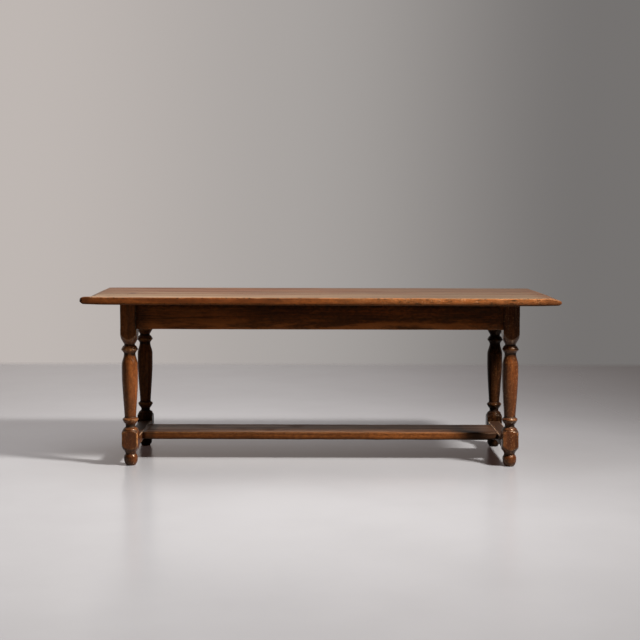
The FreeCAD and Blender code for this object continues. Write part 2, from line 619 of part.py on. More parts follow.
def make_footrest_pegs():
    rods = [rod(f"footrest_peg_rod_{side}", PEG,
                (FOOTREST_PEG_X, line, f"{STRETCHER_TOP} - {FOOTREST_PEG_LENGTH}"),
                FOOTREST_PEG_LENGTH, UPRIGHT) for side, line in footrest_tenon_lines()]
    return group("footrest_pegs_right", rods)


def make_top_pegs():
    for where, across in zip(("left", "bearer", "right"), TOP_PEG_X):
        rods = [rod(f"top_peg_{where}_{board}", TOP_PEG,
                    (across, along, f"{LEG_TOP} - sizes.top_peg_bite"), TOP_PEG_LENGTH, UPRIGHT)
                for board, along in TOP_PEG_Y.items()]
        group(f"top_pegs_{where}", rods)


make_board("front", FRONT_EDGE, FRONT_JOINT, [FRONT_JOINT])
make_board("middle", MIDDLE_FRONT, MIDDLE_BACK, [MIDDLE_FRONT, MIDDLE_BACK])
make_board("back", BACK_JOINT, BACK_EDGE, [BACK_JOINT])
make_dowels("front", FRONT_JOINT, "1")
make_dowels("back", BACK_JOINT, "-1")
make_top_pegs()

leg = make_leg()
mirrored(leg, "leg_back_left", "x")
front_leg = mirrored(leg, "leg_front_right", "y")
mirrored(front_leg, "leg_front_left", "x")
mirrored(make_long_apron(), "apron_front", "y")
mirrored(make_short_apron(), "apron_left", "x")
make_bearer()
mirrored(make_stretcher(), "stretcher_left", "x")
make_footrest()

back_pegs, right_pegs = make_apron_pegs()
mirrored(back_pegs, "apron_pegs_front", "y")
mirrored(right_pegs, "apron_pegs_left", "x")
mirrored(make_stretcher_pegs(), "stretcher_pegs_left", "x")
mirrored(make_footrest_pegs(), "footrest_pegs_left", "x")

doc.recompute()
for item in doc.Objects:
    if "Invalid" in item.State or "Error" in item.State:
        raise RuntimeError(f"{item.Label} failed: {item.State}")
for piece in pieces:
    if piece.Shape.isNull() or not piece.Shape.isValid():
        raise RuntimeError(f"{piece.Label} has no valid shape")

os.makedirs("parts", exist_ok=True)
for piece in pieces:
    piece.Shape.exportStep(f"parts/{piece.Label}.step")
print(f"{len(pieces)} pieces written")
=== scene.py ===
import math

import bmesh
import bpy
from mathutils import Matrix, Vector, noise


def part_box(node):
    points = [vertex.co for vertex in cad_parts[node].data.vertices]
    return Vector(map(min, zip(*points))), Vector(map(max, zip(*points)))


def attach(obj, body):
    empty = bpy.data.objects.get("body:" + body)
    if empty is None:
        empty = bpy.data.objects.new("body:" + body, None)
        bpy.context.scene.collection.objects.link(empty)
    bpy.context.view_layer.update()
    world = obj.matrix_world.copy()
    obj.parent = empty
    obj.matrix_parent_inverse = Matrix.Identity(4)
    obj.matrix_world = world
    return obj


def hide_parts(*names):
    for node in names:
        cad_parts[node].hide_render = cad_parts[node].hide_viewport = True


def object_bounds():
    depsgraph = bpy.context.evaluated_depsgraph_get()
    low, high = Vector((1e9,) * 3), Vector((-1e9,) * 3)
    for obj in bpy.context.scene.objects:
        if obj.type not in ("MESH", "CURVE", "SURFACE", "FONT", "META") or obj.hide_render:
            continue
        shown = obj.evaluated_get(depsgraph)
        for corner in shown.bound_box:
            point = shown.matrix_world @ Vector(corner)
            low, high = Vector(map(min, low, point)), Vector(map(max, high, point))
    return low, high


# Joined refectory table in old waxed oak, dressed over its frame. Metres, front towards -Y.
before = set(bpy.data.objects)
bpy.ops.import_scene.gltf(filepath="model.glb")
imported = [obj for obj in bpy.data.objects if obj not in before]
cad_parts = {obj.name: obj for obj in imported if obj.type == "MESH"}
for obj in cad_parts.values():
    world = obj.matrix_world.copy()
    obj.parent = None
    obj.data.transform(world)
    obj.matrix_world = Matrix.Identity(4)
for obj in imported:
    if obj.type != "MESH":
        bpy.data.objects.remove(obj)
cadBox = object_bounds()
scene = bpy.context.scene
scene.view_settings.view_transform = "Standard"
print("frame loaded:", len(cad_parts), "nodes")


# camera

cameraPlace = dict(
    stand=(0.0, -5.7865, 1.114),
    tiltDown=4.709,  # degrees
    roll=0.14,  # the photograph leans a little to the right
    lens=70,
)


def placeCamera(place):
    data = bpy.data.cameras.new("camera")
    data.lens = place["lens"]
    camera = bpy.data.objects.new("camera", data)
    scene.collection.objects.link(camera)
    tilt = Matrix.Rotation(math.radians(90 - place["tiltDown"]), 4, "X")
    roll = Matrix.Rotation(math.radians(place["roll"]), 4, "Z")
    camera.matrix_world = Matrix.Translation(place["stand"]) @ tilt @ roll
    scene.camera = camera


placeCamera(cameraPlace)


# shader helpers: inputs are values or sockets, a span is from, to, and what it gives at either end

def addNode(tree, kind, settings=None, inputs=None):
    made = tree.nodes.new("ShaderNode" + kind)
    for name, value in (settings or {}).items():
        setattr(made, name, value)
    for name, value in (inputs or {}).items():
        if isinstance(value, bpy.types.NodeSocket):
            tree.links.new(value, made.inputs[name])
        else:
            socket = made.inputs[name]
            socket.default_value = (*value, 1.0) if socket.type == "RGBA" else value
    return made


def feed(kind, settings, inputs):
    # a node in the tree that its sockets come from
    tree = next(value.id_data for value in inputs.values() if isinstance(value, bpy.types.NodeSocket))
    return addNode(tree, kind, settings, inputs).outputs


def calc(operation, first, second=0.0, clamp=False):
    settings = {"operation": operation, "use_clamp": clamp}
    return feed("Math", settings, {0: first, 1: second})[0]


def times(first, *others):
    for other in others:
        first = calc("MULTIPLY", first, other)
    return first


def spread(value, low, high, toLow=0.0, toHigh=1.0):
    settings = {"interpolation_type": "SMOOTHSTEP"}
    inputs = {"Value": value, "From Min": low, "From Max": high, "To Min": toLow, "To Max": toHigh}
    return feed("MapRange", settings, inputs)["Result"]


def blend(share, under, over):
    settings = {"data_type": "RGBA", "blend_type": "MIX"}
    return feed("Mix", settings, {0: share, 6: under, 7: over})[2]


def layered(color, layers):
    # every layer is a share and the colour it brings
    for share, over in layers:
        color = blend(share, color, over)
    return color


def onVectors(operation, first, second):
    return feed("VectorMath", {"operation": operation}, {0: first, 1: second})[0]


def stretch(vector, factors):
    return onVectors("MULTIPLY", vector, factors)


def parts(vector):
    return feed("SeparateXYZ", {}, {0: vector})


def cloud(vector, form, output="Fac"):
    if "stretch" in form:
        vector = stretch(vector, form["stretch"])
    inputs = dict(zip(("Scale", "Detail", "Roughness"), form["noise"]), Vector=vector)
    return feed("TexNoise", {}, inputs)[output]


def patches(vector, form):
    # a form's noise is its scale, detail and roughness
    return spread(cloud(vector, form), *form["span"])


def zonesOf(place, look):
    # every span whose name ends in an axis runs along that axis
    return {key: spread(place[key[-1]], *span) for key, span in look.items() if key[-1] in "XYZ"}


def newTree(owner):
    owner.use_nodes = True
    owner.node_tree.nodes.clear()
    return owner.node_tree


def newGroup(name, numbers):
    # a group takes one vector and some numbers
    group = bpy.data.node_groups.new(name, "ShaderNodeTree")
    group.interface.new_socket("Vector", in_out="INPUT", socket_type="NodeSocketVector")
    for label in numbers:
        group.interface.new_socket(label, in_out="INPUT", socket_type="NodeSocketFloat")
    return group, group.nodes.new("NodeGroupInput").outputs


def closeGroup(group, made):
    for label in made:
        group.interface.new_socket(label, in_out="OUTPUT", socket_type="NodeSocketFloat")
    ends = group.nodes.new("NodeGroupOutput")
    for label, socket in made.items():
        group.links.new(socket, ends.inputs[label])
    return group


oakGrain = dict(
    wander=dict(stretch=(0.8, 4.0, 4.0), noise=(1.5, 2.0, 0.5)),
    wanderMiddle=(0.5, 0.5, 0.5),
    wanderPush=(0.0, 0.03, 0.03),
    heart=(0.0, 0.035, -0.62),  # from the piece to the middle of the tree
    ringStretch=(0.12, 1.0, 1.0),
    rings=(3.0, 2.0, 1.4, 0.6),  # distortion, detail, its scale and roughness
    ringSpan=(0.1, 0.95),
    streak=dict(stretch=(0.045, 1.0, 1.0), span=(0.28, 0.72)),
    streakNoise=(6.0, 0.66),  # detail and roughness, the scale is the look's
    pores=dict(stretch=(0.05, 1.0, 1.0), noise=(760.0, 2.0, 0.6), span=(0.56, 0.7)),
    poresInFigure=(0.2, 0.8, 0.35, 1.0),
    streakHeight=0.55,
    poreDepth=0.6,
)


def makeGrainGroup():
    # oak along X: growth figure, long colour streaks, short dark pores and the height they give
    group, given = newGroup("oakGrain", ["Streak Scale", "Figure Scale"])
    wander = cloud(given["Vector"], oakGrain["wander"], "Color")
    wander = onVectors("SUBTRACT", wander, oakGrain["wanderMiddle"])
    bent = onVectors("ADD", given["Vector"], stretch(wander, oakGrain["wanderPush"]))
    around = stretch(onVectors("ADD", bent, oakGrain["heart"]), oakGrain["ringStretch"])
    labels = ("Distortion", "Detail", "Detail Scale", "Detail Roughness")
    rings = addNode(group, "TexWave", {"wave_type": "RINGS", "rings_direction": "X"},
                    dict(zip(labels, oakGrain["rings"]), Vector=around, Scale=given["Figure Scale"]))
    figure = spread(rings.outputs["Fac"], *oakGrain["ringSpan"])
    streakNoise = (given["Streak Scale"], *oakGrain["streakNoise"])
    streak = patches(bent, dict(oakGrain["streak"], noise=streakNoise))
    pores = times(patches(bent, oakGrain["pores"]), spread(figure, *oakGrain["poresInFigure"]))
    height = calc("SUBTRACT", times(streak, oakGrain["streakHeight"]), times(pores, oakGrain["poreDepth"]))
    return closeGroup(group, {"Figure": figure, "Streak": streak, "Pores": pores, "Height": height})


handWear = dict(
    rubbed=dict(noise=(46.0, 4.0, 0.6), span=(0.3, 0.66, 0.15, 1.0)),
    dirty=dict(noise=(30.0, 3.0, 0.55), span=(0.2, 0.6, 0.5, 1.0)),
    blotch=dict(stretch=(0.14, 1.0, 1.0), noise=(26.0, 5.0, 0.62), span=(0.32, 0.68)),
    mottle=dict(stretch=(0.5, 1.0, 1.0), noise=(105.0, 3.0, 0.6), span=(0.36, 0.66)),
    specks=dict(noise=(80.0, 3.0, 0.6), span=(0.55, 0.64)),
    scuff=dict(noise=(150.0, 5.0, 0.7), span=(0.54, 0.7)),
)
specksOnWorn = (0.05, 0.3)


def makeWearGroup():
    # rubbed arrises, and dirt with painted shade in the hollows, from the piece's own attributes for its
    # arrises and hollows
    group, given = newGroup("handWear", ["Rubbing", "Dirt"])
    worn = addNode(group, "Attribute", {"attribute_name": "worn"}).outputs["Fac"]
    grimy = addNode(group, "Attribute", {"attribute_name": "grimy"}).outputs["Fac"]
    drawn = {name: patches(given["Vector"], form) for name, form in handWear.items()}
    return closeGroup(group, {
        "Worn": calc("MULTIPLY", times(worn, drawn["rubbed"]), given["Rubbing"], True),
        "Grime": calc("MULTIPLY", times(grimy, drawn["dirty"]), given["Dirt"], True),
        "Blotch": drawn["blotch"],
        "Mottle": drawn["mottle"],
        "Specks": times(spread(worn, *specksOnWorn), drawn["specks"]),
        "Scuff": drawn["scuff"],
    })


grainGroup = makeGrainGroup()
wearGroup = makeWearGroup()


# oak finishes: turn lays the grain along the piece, shift takes another part of the tree

alongX = (0.0, 0.0, 0.0)
alongY = (0.0, 0.0, math.radians(-90))
alongZ = (0.0, math.radians(90), 0.0)
levels = {"flat": (0.86, 0.995), "rounded": (0.6, 0.95)}  # how level a face is, to count as looking up
oakSurface = dict(
    streakRough=(0.07, -0.05),  # between the streaks and on them
    scuffRough=0.16,
    wornSmooth=0.08,
    grimeRough=0.45,
    dents=dict(noise=(22.0, 3.0, 0.55)),
    dentDepth=1.4,
    bumpReach=0.0015,
)


def facing(coords, sign, level):
    # how far the surface looks up or down
    up = parts(coords["Normal"])["Z"]
    return spread(times(up, sign), *levels[level])


def oakFinish(name, look, turn, extra=None, shift=(0.0, 0.0, 0.0)):
    material = bpy.data.materials.new(name)
    tree = newTree(material)
    coords = addNode(tree, "TexCoord").outputs
    vector = addNode(tree, "Mapping", None, {
        "Vector": coords["Object"], "Rotation": turn, "Location": shift}).outputs["Vector"]
    grain = addNode(tree, "Group", {"node_tree": grainGroup}, {
        "Vector": vector, "Streak Scale": look["streakScale"], "Figure Scale": look["figureScale"]}).outputs
    wear = addNode(tree, "Group", {"node_tree": wearGroup}, {
        "Vector": vector, "Rubbing": look["rubbing"], "Dirt": look["dirt"]}).outputs
    color = blend(grain["Streak"], look["deep"], look["body"])
    color = layered(color, [
        (times(grain["Figure"], look["figureShare"]), look["pale"]),
        (spread(wear["Blotch"], 0.0, 1.0, 0.0, look["blotchShare"]), look["stain"]),
        (times(wear["Mottle"], look["mottleShare"]), look["stain"]),
        (times(grain["Pores"], look["poreShare"]), look["pore"]),
        (wear["Worn"], look["bare"]),
    ])
    if extra:
        color = extra(coords, grain, wear, color, look)
    color = layered(color, [
        (times(wear["Specks"], look["speckShare"]), look["soot"]),
        # dirt and painted shade in the hollows
        (wear["Grime"], look["soot"]),
    ])
    between, on = oakSurface["streakRough"]
    rough = spread(grain["Streak"], 0.0, 1.0, look["rough"] + between, look["rough"] + on)
    rough = calc("ADD", rough, times(wear["Scuff"], oakSurface["scuffRough"]))
    rough = calc("SUBTRACT", rough, times(wear["Worn"], oakSurface["wornSmooth"]))
    if "edgeRough" in look:
        upward = facing(coords, 1.0, "rounded")
        rough = calc("ADD", rough, spread(upward, 0.0, 1.0, look["edgeRough"], 0.0))
    rough = calc("ADD", rough, times(wear["Grime"], oakSurface["grimeRough"]), True)
    dents = times(cloud(vector, oakSurface["dents"]), oakSurface["dentDepth"])
    bump = addNode(tree, "Bump", None, {
        "Strength": look["bump"], "Distance": oakSurface["bumpReach"],
        "Height": calc("ADD", grain["Height"], dents)})
    shader = addNode(tree, "BsdfPrincipled", None, {
        "Base Color": color, "Roughness": rough, "Normal": bump.outputs["Normal"],
        "Specular IOR Level": look["gloss"], "Specular Tint": look["sheen"]})
    addNode(tree, "OutputMaterial", None, {"Surface": shader.outputs["BSDF"]})
    return material


# the top's finish

topLook = dict(
    deep=(0.06, 0.013, 0.003), body=(0.2, 0.046, 0.009), pale=(0.3, 0.084, 0.017),
    stain=(0.055, 0.014, 0.004), pore=(0.02, 0.007, 0.003), bare=(0.28, 0.08, 0.016),
    soot=(0.012, 0.005, 0.002), figureShare=0.45, blotchShare=0.55, mottleShare=0.45,
    poreShare=0.5, speckShare=0.85, streakScale=45.0, figureScale=17.0, rubbing=0.6, dirt=0.9,
    rough=0.4, bump=0.22, gloss=0.4, edgeRough=0.22, sheen=(1.0, 0.58, 0.26),
    # bleached wood on the upper face, made paler still as painted sheen
    bleached=(0.237, 0.147, 0.077), bleach=0.75,
    scuffed=(0.5, 0.29, 0.15),
    polished=(0.37, 0.24, 0.14),  # by arms, along the front
    handled=(0.38, 0.15, 0.042),  # by hands, on the edge
    raw=(0.14, 0.078, 0.04), rawShare=0.8,  # unpolished wood below
    dull=(0.05, 0.036, 0.026),  # painted shade on the upper face, towards the right
)
topBackLook = dict(topLook, bleach=0.46, gloss=0.28, body=(0.27, 0.068, 0.011), pale=(0.38, 0.112, 0.018))
topWear = dict(
    handledX=(-0.1, 0.5, 0.0, 0.18),
    scuffedX=(-0.1, 0.5, 0.05, 0.75),
    underX=(-0.3, 0.6, 0.2, 0.8), underZ=(0.752, 0.737),  # painted shade low on the edge, where its lower rounding turns from the light
    smokyX=(0.62, 0.92, 0.0, 0.26),  # painted shade: the edge darkens towards the right end
    pits=dict(stretch=(0.3, 1.0, 1.0), noise=(200.0, 4.0, 0.65), span=(0.52, 0.64, 0.0, 0.85)),
    pittedX=(-0.2, 0.5, 0.25, 1.0),
    bands=dict(stretch=(0.1, 1.0, 1.0), noise=(17.0, 4.0, 0.6)),
    bandSpan=(0.36, 0.62), bandSwing=0.65,
    polishedX=(0.5, -0.4), polishedY=(-0.12, -0.3, 0.0, 0.42),
    lines=(0.48, 0.12, 0.0, 0.5),  # dark streaks of the grain
    dullX=(-0.9, 0.8, 0.0, 0.72),
    leftTipX=(-0.985, -1.045, 0.0, 0.75), rightTipX=(0.93, 1.025, 0.0, 0.62),  # darker tips: painted shade on the left one, where the rounded end turns from the light
    tipY=(0.1, -0.25, 0.3, 1.0),
    joints=(-0.114, 0.055), jointReach=(0.03, 0.003),
    jointDirt=dict(stretch=(1.0, 0.2, 1.0), noise=(2.3, 5.0, 0.55), span=(0.38, 0.64, 0.18, 0.66)),
    mark=dict(X=(-0.86, 0.016), Y=(-0.078, 0.042)),  # dark spot: place and half size
    markSpan=(1.7, 0.3, 0.0, 0.97),
)


def wornAndShadedTop(coords, grain, wear, color, look):
    # pale in bands above, as bleaching and painted sheen, raw below, the edge between kept orange by hands;
    # painted shade low on the edge, towards its right end and on the left tip
    spot = coords["Object"]
    place = parts(spot)
    zones = zonesOf(place, topWear)
    upward = facing(coords, 1.0, "rounded")
    edge = calc("SUBTRACT", 1.0, upward, True)
    bands = spread(cloud(spot, topWear["bands"]), *topWear["bandSpan"],
                   look["bleach"] - topWear["bandSwing"], look["bleach"])
    darkTips = calc("MAXIMUM", zones["leftTipX"], zones["rightTipX"])
    joints = [calc("ABSOLUTE", calc("SUBTRACT", place["Y"], y)) for y in topWear["joints"]]
    dirt = times(spread(calc("MINIMUM", *joints), *topWear["jointReach"]),
                 patches(spot, topWear["jointDirt"]))
    away = [calc("DIVIDE", calc("SUBTRACT", place[axis], middle), half)
            for axis, (middle, half) in topWear["mark"].items()]
    away = calc("ADD", *[times(part, part) for part in away])
    return layered(color, [
        (times(edge, zones["handledX"]), look["handled"]),
        (times(wear["Scuff"], edge, zones["scuffedX"]), look["scuffed"]),
        (times(zones["underZ"], edge, zones["underX"]), look["stain"]),
        (times(edge, zones["smokyX"]), look["stain"]),
        (times(patches(spot, topWear["pits"]), zones["pittedX"], edge), look["soot"]),
        (calc("MULTIPLY", upward, bands, True), look["bleached"]),
        (times(zones["polishedY"], upward, zones["polishedX"]), look["polished"]),
        (times(upward, spread(grain["Streak"], *topWear["lines"])), look["stain"]),
        (times(upward, zones["dullX"]), look["dull"]),
        (times(darkTips, zones["tipY"]), look["stain"]),
        (calc("MAXIMUM", dirt, spread(away, *topWear["markSpan"])), look["stain"]),
        (times(facing(coords, -1.0, "flat"), look["rawShare"]), look["raw"]),
    ])


# the legs' finish

frameLook = dict(
    deep=(0.13, 0.036, 0.009), body=(0.315, 0.092, 0.021), pale=(0.41, 0.138, 0.035),
    stain=(0.07, 0.02, 0.006), pore=(0.025, 0.008, 0.003), bare=(0.62, 0.29, 0.11),
    soot=(0.007, 0.003, 0.002), figureShare=0.25, blotchShare=0.4, mottleShare=0.6,
    poreShare=0.45, speckShare=0.4, streakScale=75.0, figureScale=15.0, rubbing=0.95, dirt=1.0,
    rough=0.23, bump=0.25, gloss=0.36, sheen=(1.0, 0.74, 0.52),
    mud=(0.043, 0.012, 0.0045),
    smoke=0.92,  # painted shade over the right legs
    kicked=0.64,  # low on the left ones
    rubbedFront=0.76, scuffShare=(0.12, 0.34),
)
# painted shade: the back legs are a darker copy of the front legs' finish
paintedShadeBackLook = dict(frameLook, deep=(0.095, 0.028, 0.008), body=(0.235, 0.073, 0.018),
                pale=(0.31, 0.11, 0.03), stain=(0.04, 0.012, 0.004), mud=(0.01, 0.0035, 0.0015),
                gloss=0.07, smoke=1.15, kicked=0.0, lively=1.5, rubbing=0.5, rubbedFront=1.0,
                scuffShare=(0.06, 0.13))
legWear = dict(
    rightX=(-0.6, 0.6),  # painted shade and scuffs grow towards the right
    frontal=(-0.8, -0.98),  # less so where it looks straight ahead
    kickedX=(0.0, -0.6), kickedZ=(0.36, 0.25), footZ=(0.19, 0.215), kickedSide=(-0.1, 0.25),
    # painted shade under the top, strongest on the right legs
    aboveZ=(0.5, 0.66), aboveShare=0.88,
    belowZ=(0.23, 0.13, 0.0, 0.86), belowOnWorn=(0.05, 0.55, 1.0, 0.12),
    blotchy=(0.0, 1.0, 0.75, 1.1),
    arrisZ=(0.58, 0.63, 0.0, 0.9),  # dark arrises of the top block
    joint=(0.826, 0.82, 0.0, 0.9), jointZ=(0.605, 0.62),  # dark beside the rails
    outside=(0.25, 0.85, 0.0, 0.8),
)


def shadedAndWornLeg(coords, grain, wear, color, look):
    # painted shade under the top and on the right legs, muddy towards the floor
    place = parts(coords["Object"])
    looks = parts(coords["Normal"])
    zones = zonesOf(place, legWear)
    kicked = times(zones["kickedZ"], look["kicked"], zones["footZ"], zones["kickedX"],
                   spread(looks["X"], *legWear["kickedSide"]))
    right = times(zones["rightX"], look["smoke"],
                  spread(looks["Y"], *legWear["frontal"], 1.0, look["rubbedFront"]))
    above = times(zones["aboveZ"], zones["rightX"], legWear["aboveShare"])
    below = times(zones["belowZ"], spread(wear["Worn"], *legWear["belowOnWorn"]))
    muddyAndShaded = calc("MAXIMUM", calc("MAXIMUM", above, below), right)
    arris = times(wear["Worn"], zones["arrisZ"])
    joint = times(spread(calc("ABSOLUTE", place["X"]), *legWear["joint"]), zones["jointZ"])
    scuffs = spread(place["X"], *legWear["rightX"], *look["scuffShare"])
    return layered(color, [
        (kicked, look["stain"]),
        (calc("MAXIMUM", arris, joint), look["soot"]),
        (calc("MULTIPLY", muddyAndShaded, spread(wear["Blotch"], *legWear["blotchy"]), True), look["mud"]),
        (times(wear["Scuff"], scuffs), look["bare"]),
    ])


def shadedLeg(coords, grain, wear, color, look):
    # a back leg: painted shade where it looks under the table, lighter outside
    backward = parts(coords["Normal"])["Y"]
    dull = shadedAndWornLeg(coords, grain, wear, color, look)
    lively = stretch(color, (look["lively"], look["lively"], look["lively"]))
    return blend(spread(backward, *legWear["outside"]), dull, lively)


# the rails' finish

railLook = dict(frameLook, deep=(0.03, 0.008, 0.003), body=(0.33, 0.08, 0.015),
                pale=(0.42, 0.125, 0.028), stain=(0.02, 0.007, 0.003), blotchShare=0.68, rubbing=0.5,
                poreShare=0.7, streakScale=95.0, gloss=0.18, rough=0.34)
railWear = dict(
    footX=(0.4, 0.75, 1.0, 0.25), footZ=(0.672, 0.632), footBlotch=(0.85, 0.25, 0.1, 0.95),
    # painted light: paler to the left
    leftX=(-0.1, -0.6, 0.0, 0.5),
    leftEndX=(-0.735, -0.79, 0.0, 0.72), rightEndX=(0.62, 0.8, 0.0, 0.62),
    # painted shade close under the top
    underTopZ=(0.69, 0.728, 0.0, 0.85),
    mottled=(0.0, 1.0, 0.7, 1.0),
)


def railShadeAndLight(coords, grain, wear, color, look):
    # a rail: painted shade close under the top, dark at its ends, paler along the foot, and painted light to
    # the left
    place = parts(coords["Object"])
    zones = zonesOf(place, railWear)
    foot = times(zones["footZ"], spread(wear["Blotch"], *railWear["footBlotch"]), zones["footX"])
    ends = calc("MAXIMUM", zones["leftEndX"], zones["rightEndX"])
    shadeAndDarkEnds = calc("MAXIMUM", zones["underTopZ"], ends)
    return layered(color, [
        (foot, look["pale"]),
        (times(zones["leftX"], grain["Streak"]), look["pale"]),
        (times(shadeAndDarkEnds, spread(wear["Mottle"], *railWear["mottled"])), look["soot"]),
    ])


# the finish of the foot board and the stretchers, greyed where feet rest, with painted shade

lowLook = dict(frameLook, deep=(0.09, 0.027, 0.008), body=(0.38, 0.115, 0.026),
               pale=(0.46, 0.16, 0.042), stain=(0.07, 0.021, 0.007), mud=(0.016, 0.008, 0.0052),
               rubbing=0.3, rough=0.44, gloss=0.16, streakScale=26.0, dust=(0.4, 0.19, 0.09),
               dustLeft=(0.56, 0.29, 0.15), dustShare=0.85, hem=0.55, ahead=0.3, corner=0.6,
               grubby=(0.0, 0.9))
# the stretchers' worn arrises are painted pale, partly as a painted highlight, and the right one carries
# painted shade
stretcherLook = dict(lowLook, dust=(0.12, 0.066, 0.038), dustLeft=(0.12, 0.066, 0.038),
                     hem=0.0, ahead=0.0, corner=0.0, grubby=(0.68, 0.93), rubbing=0.95,
                     bare=(0.74, 0.47, 0.29))
lowWear = dict(
    streaky=(0.15, 0.85), dustSwing=0.75,
    leftX=(-0.25, -0.6),
    hemZ=(0.109, 0.096),  # dark along the foot
    aheadY=(-0.045, -0.1), aheadZ=(0.112, 0.122),  # painted shade along the upper front arris, where the top's shadow edge falls
    cornerX=(-0.752, -0.776),  # painted shade where it meets the left stretcher
    grubby=(0.56, 0.74), grubbyOnWorn=(0.1, 0.6, 1.0, 0.35),  # painted shade towards the right
)


def troddenAndShadedTop(coords, grain, wear, color, look):
    # dusty along the streaks of the upper face, muddy elsewhere, with painted shade along the upper front
    # arris, at the left corner and towards the right
    place = parts(coords["Object"])
    zones = zonesOf(place, lowWear)
    streaky = spread(grain["Streak"], *lowWear["streaky"],
                     look["dustShare"] - lowWear["dustSwing"], look["dustShare"])
    trod = times(facing(coords, 1.0, "flat"), streaky)
    hem = times(zones["hemZ"], look["hem"])
    grubby = times(spread(place["X"], *lowWear["grubby"], *look["grubby"]),
                   spread(wear["Worn"], *lowWear["grubbyOnWorn"]))
    return layered(color, [
        (trod, blend(zones["leftX"], look["dust"], look["dustLeft"])),
        (calc("SUBTRACT", hem, trod, True), look["mud"]),
        (times(zones["aheadY"], look["ahead"], zones["aheadZ"]), look["mud"]),
        (times(zones["cornerX"], look["corner"]), look["mud"]),
        (grubby, look["mud"]),
    ])


pegLook = dict(frameLook, deep=(0.02, 0.008, 0.004), body=(0.085, 0.03, 0.01),
               pale=(0.12, 0.044, 0.015), rubbing=0.35, gloss=0.2)

finishes = {
    "topFront": oakFinish("topOakFront", dict(topLook, bleach=0.9), alongX, wornAndShadedTop),
    "topMiddle": oakFinish("topOakMiddle", topLook, alongX, wornAndShadedTop, (0.7, 0.31, 0.05)),
    "topBack": oakFinish("topOakBack", topBackLook, alongX, wornAndShadedTop, (1.9, -0.17, 0.11)),
    "legFront": oakFinish("legOakFront", frameLook, alongZ, shadedAndWornLeg),
    "legBack": oakFinish("legOakBack", paintedShadeBackLook, alongZ, shadedLeg, (0.4, 0.0, 0.0)),
    "longRail": oakFinish("longRailOak", railLook, alongX, railShadeAndLight),
    "endRail": oakFinish("endRailOak", railLook, alongY),
    "stretcher": oakFinish("stretcherOak", stretcherLook, alongY, troddenAndShadedTop),
    "footBoard": oakFinish("footBoardOak", lowLook, alongX, troddenAndShadedTop),
    "peg": oakFinish("pegOak", pegLook, alongZ),
}
print("finishes made:", len(finishes))


# what every piece goes through

wearRange = dict(
    bluntest=45.0,  # curvature per metre at which rubbing starts
    sharpest=190.0,
    closest=0.0004,  # faces count as at least this far apart
    easings=24,  # rounds of smoothing that show what lies sunk
    easing=0.5,
    sunkFrom=0.00012,
    sunkTo=0.0009,
    blur=0.5,  # share taken over from the neighbours
)
chipping = dict(
    least=0.02,  # wear below this stays whole
    finer=2.7, finerShare=0.5,
    gain=1.6,
)
sameSpot = 1e-6  # vertices this close are one
slack = 1e-4  # of a length, for rounding


def within(value):
    return min(1.0, max(0.0, value))


def markWear(bm, blurs):
    # arrises and hollows, found from how the faces bend, kept as two attributes of the mesh
    worn = bm.verts.layers.float.new("worn")
    grimy = bm.verts.layers.float.new("grimy")
    reach = wearRange["sharpest"] - wearRange["bluntest"]
    for edge in bm.edges:
        if len(edge.link_faces) != 2:
            continue
        first, second = edge.link_faces
        apart = (first.calc_center_median() - second.calc_center_median()).length
        bend = edge.calc_face_angle_signed(0.0) / max(apart, wearRange["closest"])
        share = within((abs(bend) - wearRange["bluntest"]) / reach)
        layer = worn if bend > 0 else grimy
        for vert in edge.verts:
            vert[layer] = max(vert[layer], share)
    soft = bm.copy()
    for _ in range(wearRange["easings"]):
        bmesh.ops.smooth_vert(soft, verts=soft.verts[:], factor=wearRange["easing"],
                              use_axis_x=True, use_axis_y=True, use_axis_z=True)
    # how far a vertex lies sunk, which darkens it with dirt and painted shade
    deep = wearRange["sunkTo"] - wearRange["sunkFrom"]
    for vert, eased in zip(bm.verts, soft.verts):
        sunk = (eased.co - vert.co).dot(vert.normal) - wearRange["sunkFrom"]
        vert[grimy] = max(vert[grimy], within(sunk / deep))
    soft.free()
    blur = wearRange["blur"]
    for layer in (worn, grimy):
        for _ in range(blurs):
            around = {vert: [edge.other_vert(vert)[layer] for edge in vert.link_edges] for vert in bm.verts}
            for vert, values in around.items():
                if values:
                    vert[layer] = (1 - blur) * vert[layer] + blur * sum(values) / len(values)
    return worn


def knock(bm, worn, depth, scale):
    # chips and flats along the worn arrises
    for vert in bm.verts:
        if vert[worn] > chipping["least"]:
            finer = noise.noise(vert.co * scale * chipping["finer"])
            bite = noise.noise(vert.co * scale) + chipping["finerShare"] * finer
            vert.co -= vert.normal * (depth * min(1.0, vert[worn] * chipping["gain"]) * max(0.0, bite))


def addMesh(name, bm, material):
    mesh = bpy.data.meshes.new(name)
    bm.to_mesh(mesh)
    bm.free()
    mesh.materials.append(material)
    made = bpy.data.objects.new(name, mesh)
    scene.collection.objects.link(made)
    return made


def finishPiece(name, bm, finish, nodes, chips=0.0, chipScale=40.0, spared=None, blurs=1):
    bmesh.ops.recalc_face_normals(bm, faces=bm.faces[:])
    bm.normal_update()
    worn = markWear(bm, blurs)
    for vert in bm.verts:
        if spared and spared(vert.co):
            vert[worn] = 0.0
    if chips:
        knock(bm, worn, chips, chipScale)
    for face in bm.faces:
        face.smooth = True
    piece = addMesh(name, bm, finishes[finish])
    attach(piece, "root")
    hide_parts(*nodes)


def axisVector(axis, length=1.0):
    return Vector([length if number == axis else 0.0 for number in range(3)])


def cutAcross(bm, axis, place):
    across = axisVector(axis)
    bmesh.ops.bisect_plane(bm, geom=bm.verts[:] + bm.edges[:] + bm.faces[:], plane_co=across * place,
                           plane_no=across, dist=sameSpot)


def cutLoops(bm, axis, low, high, step):
    # evenly spaced cuts, so that the faces can follow a gentle bend
    count = max(1, round((high - low) / step))
    for number in range(1, count):
        cutAcross(bm, axis, low + (high - low) * number / count)


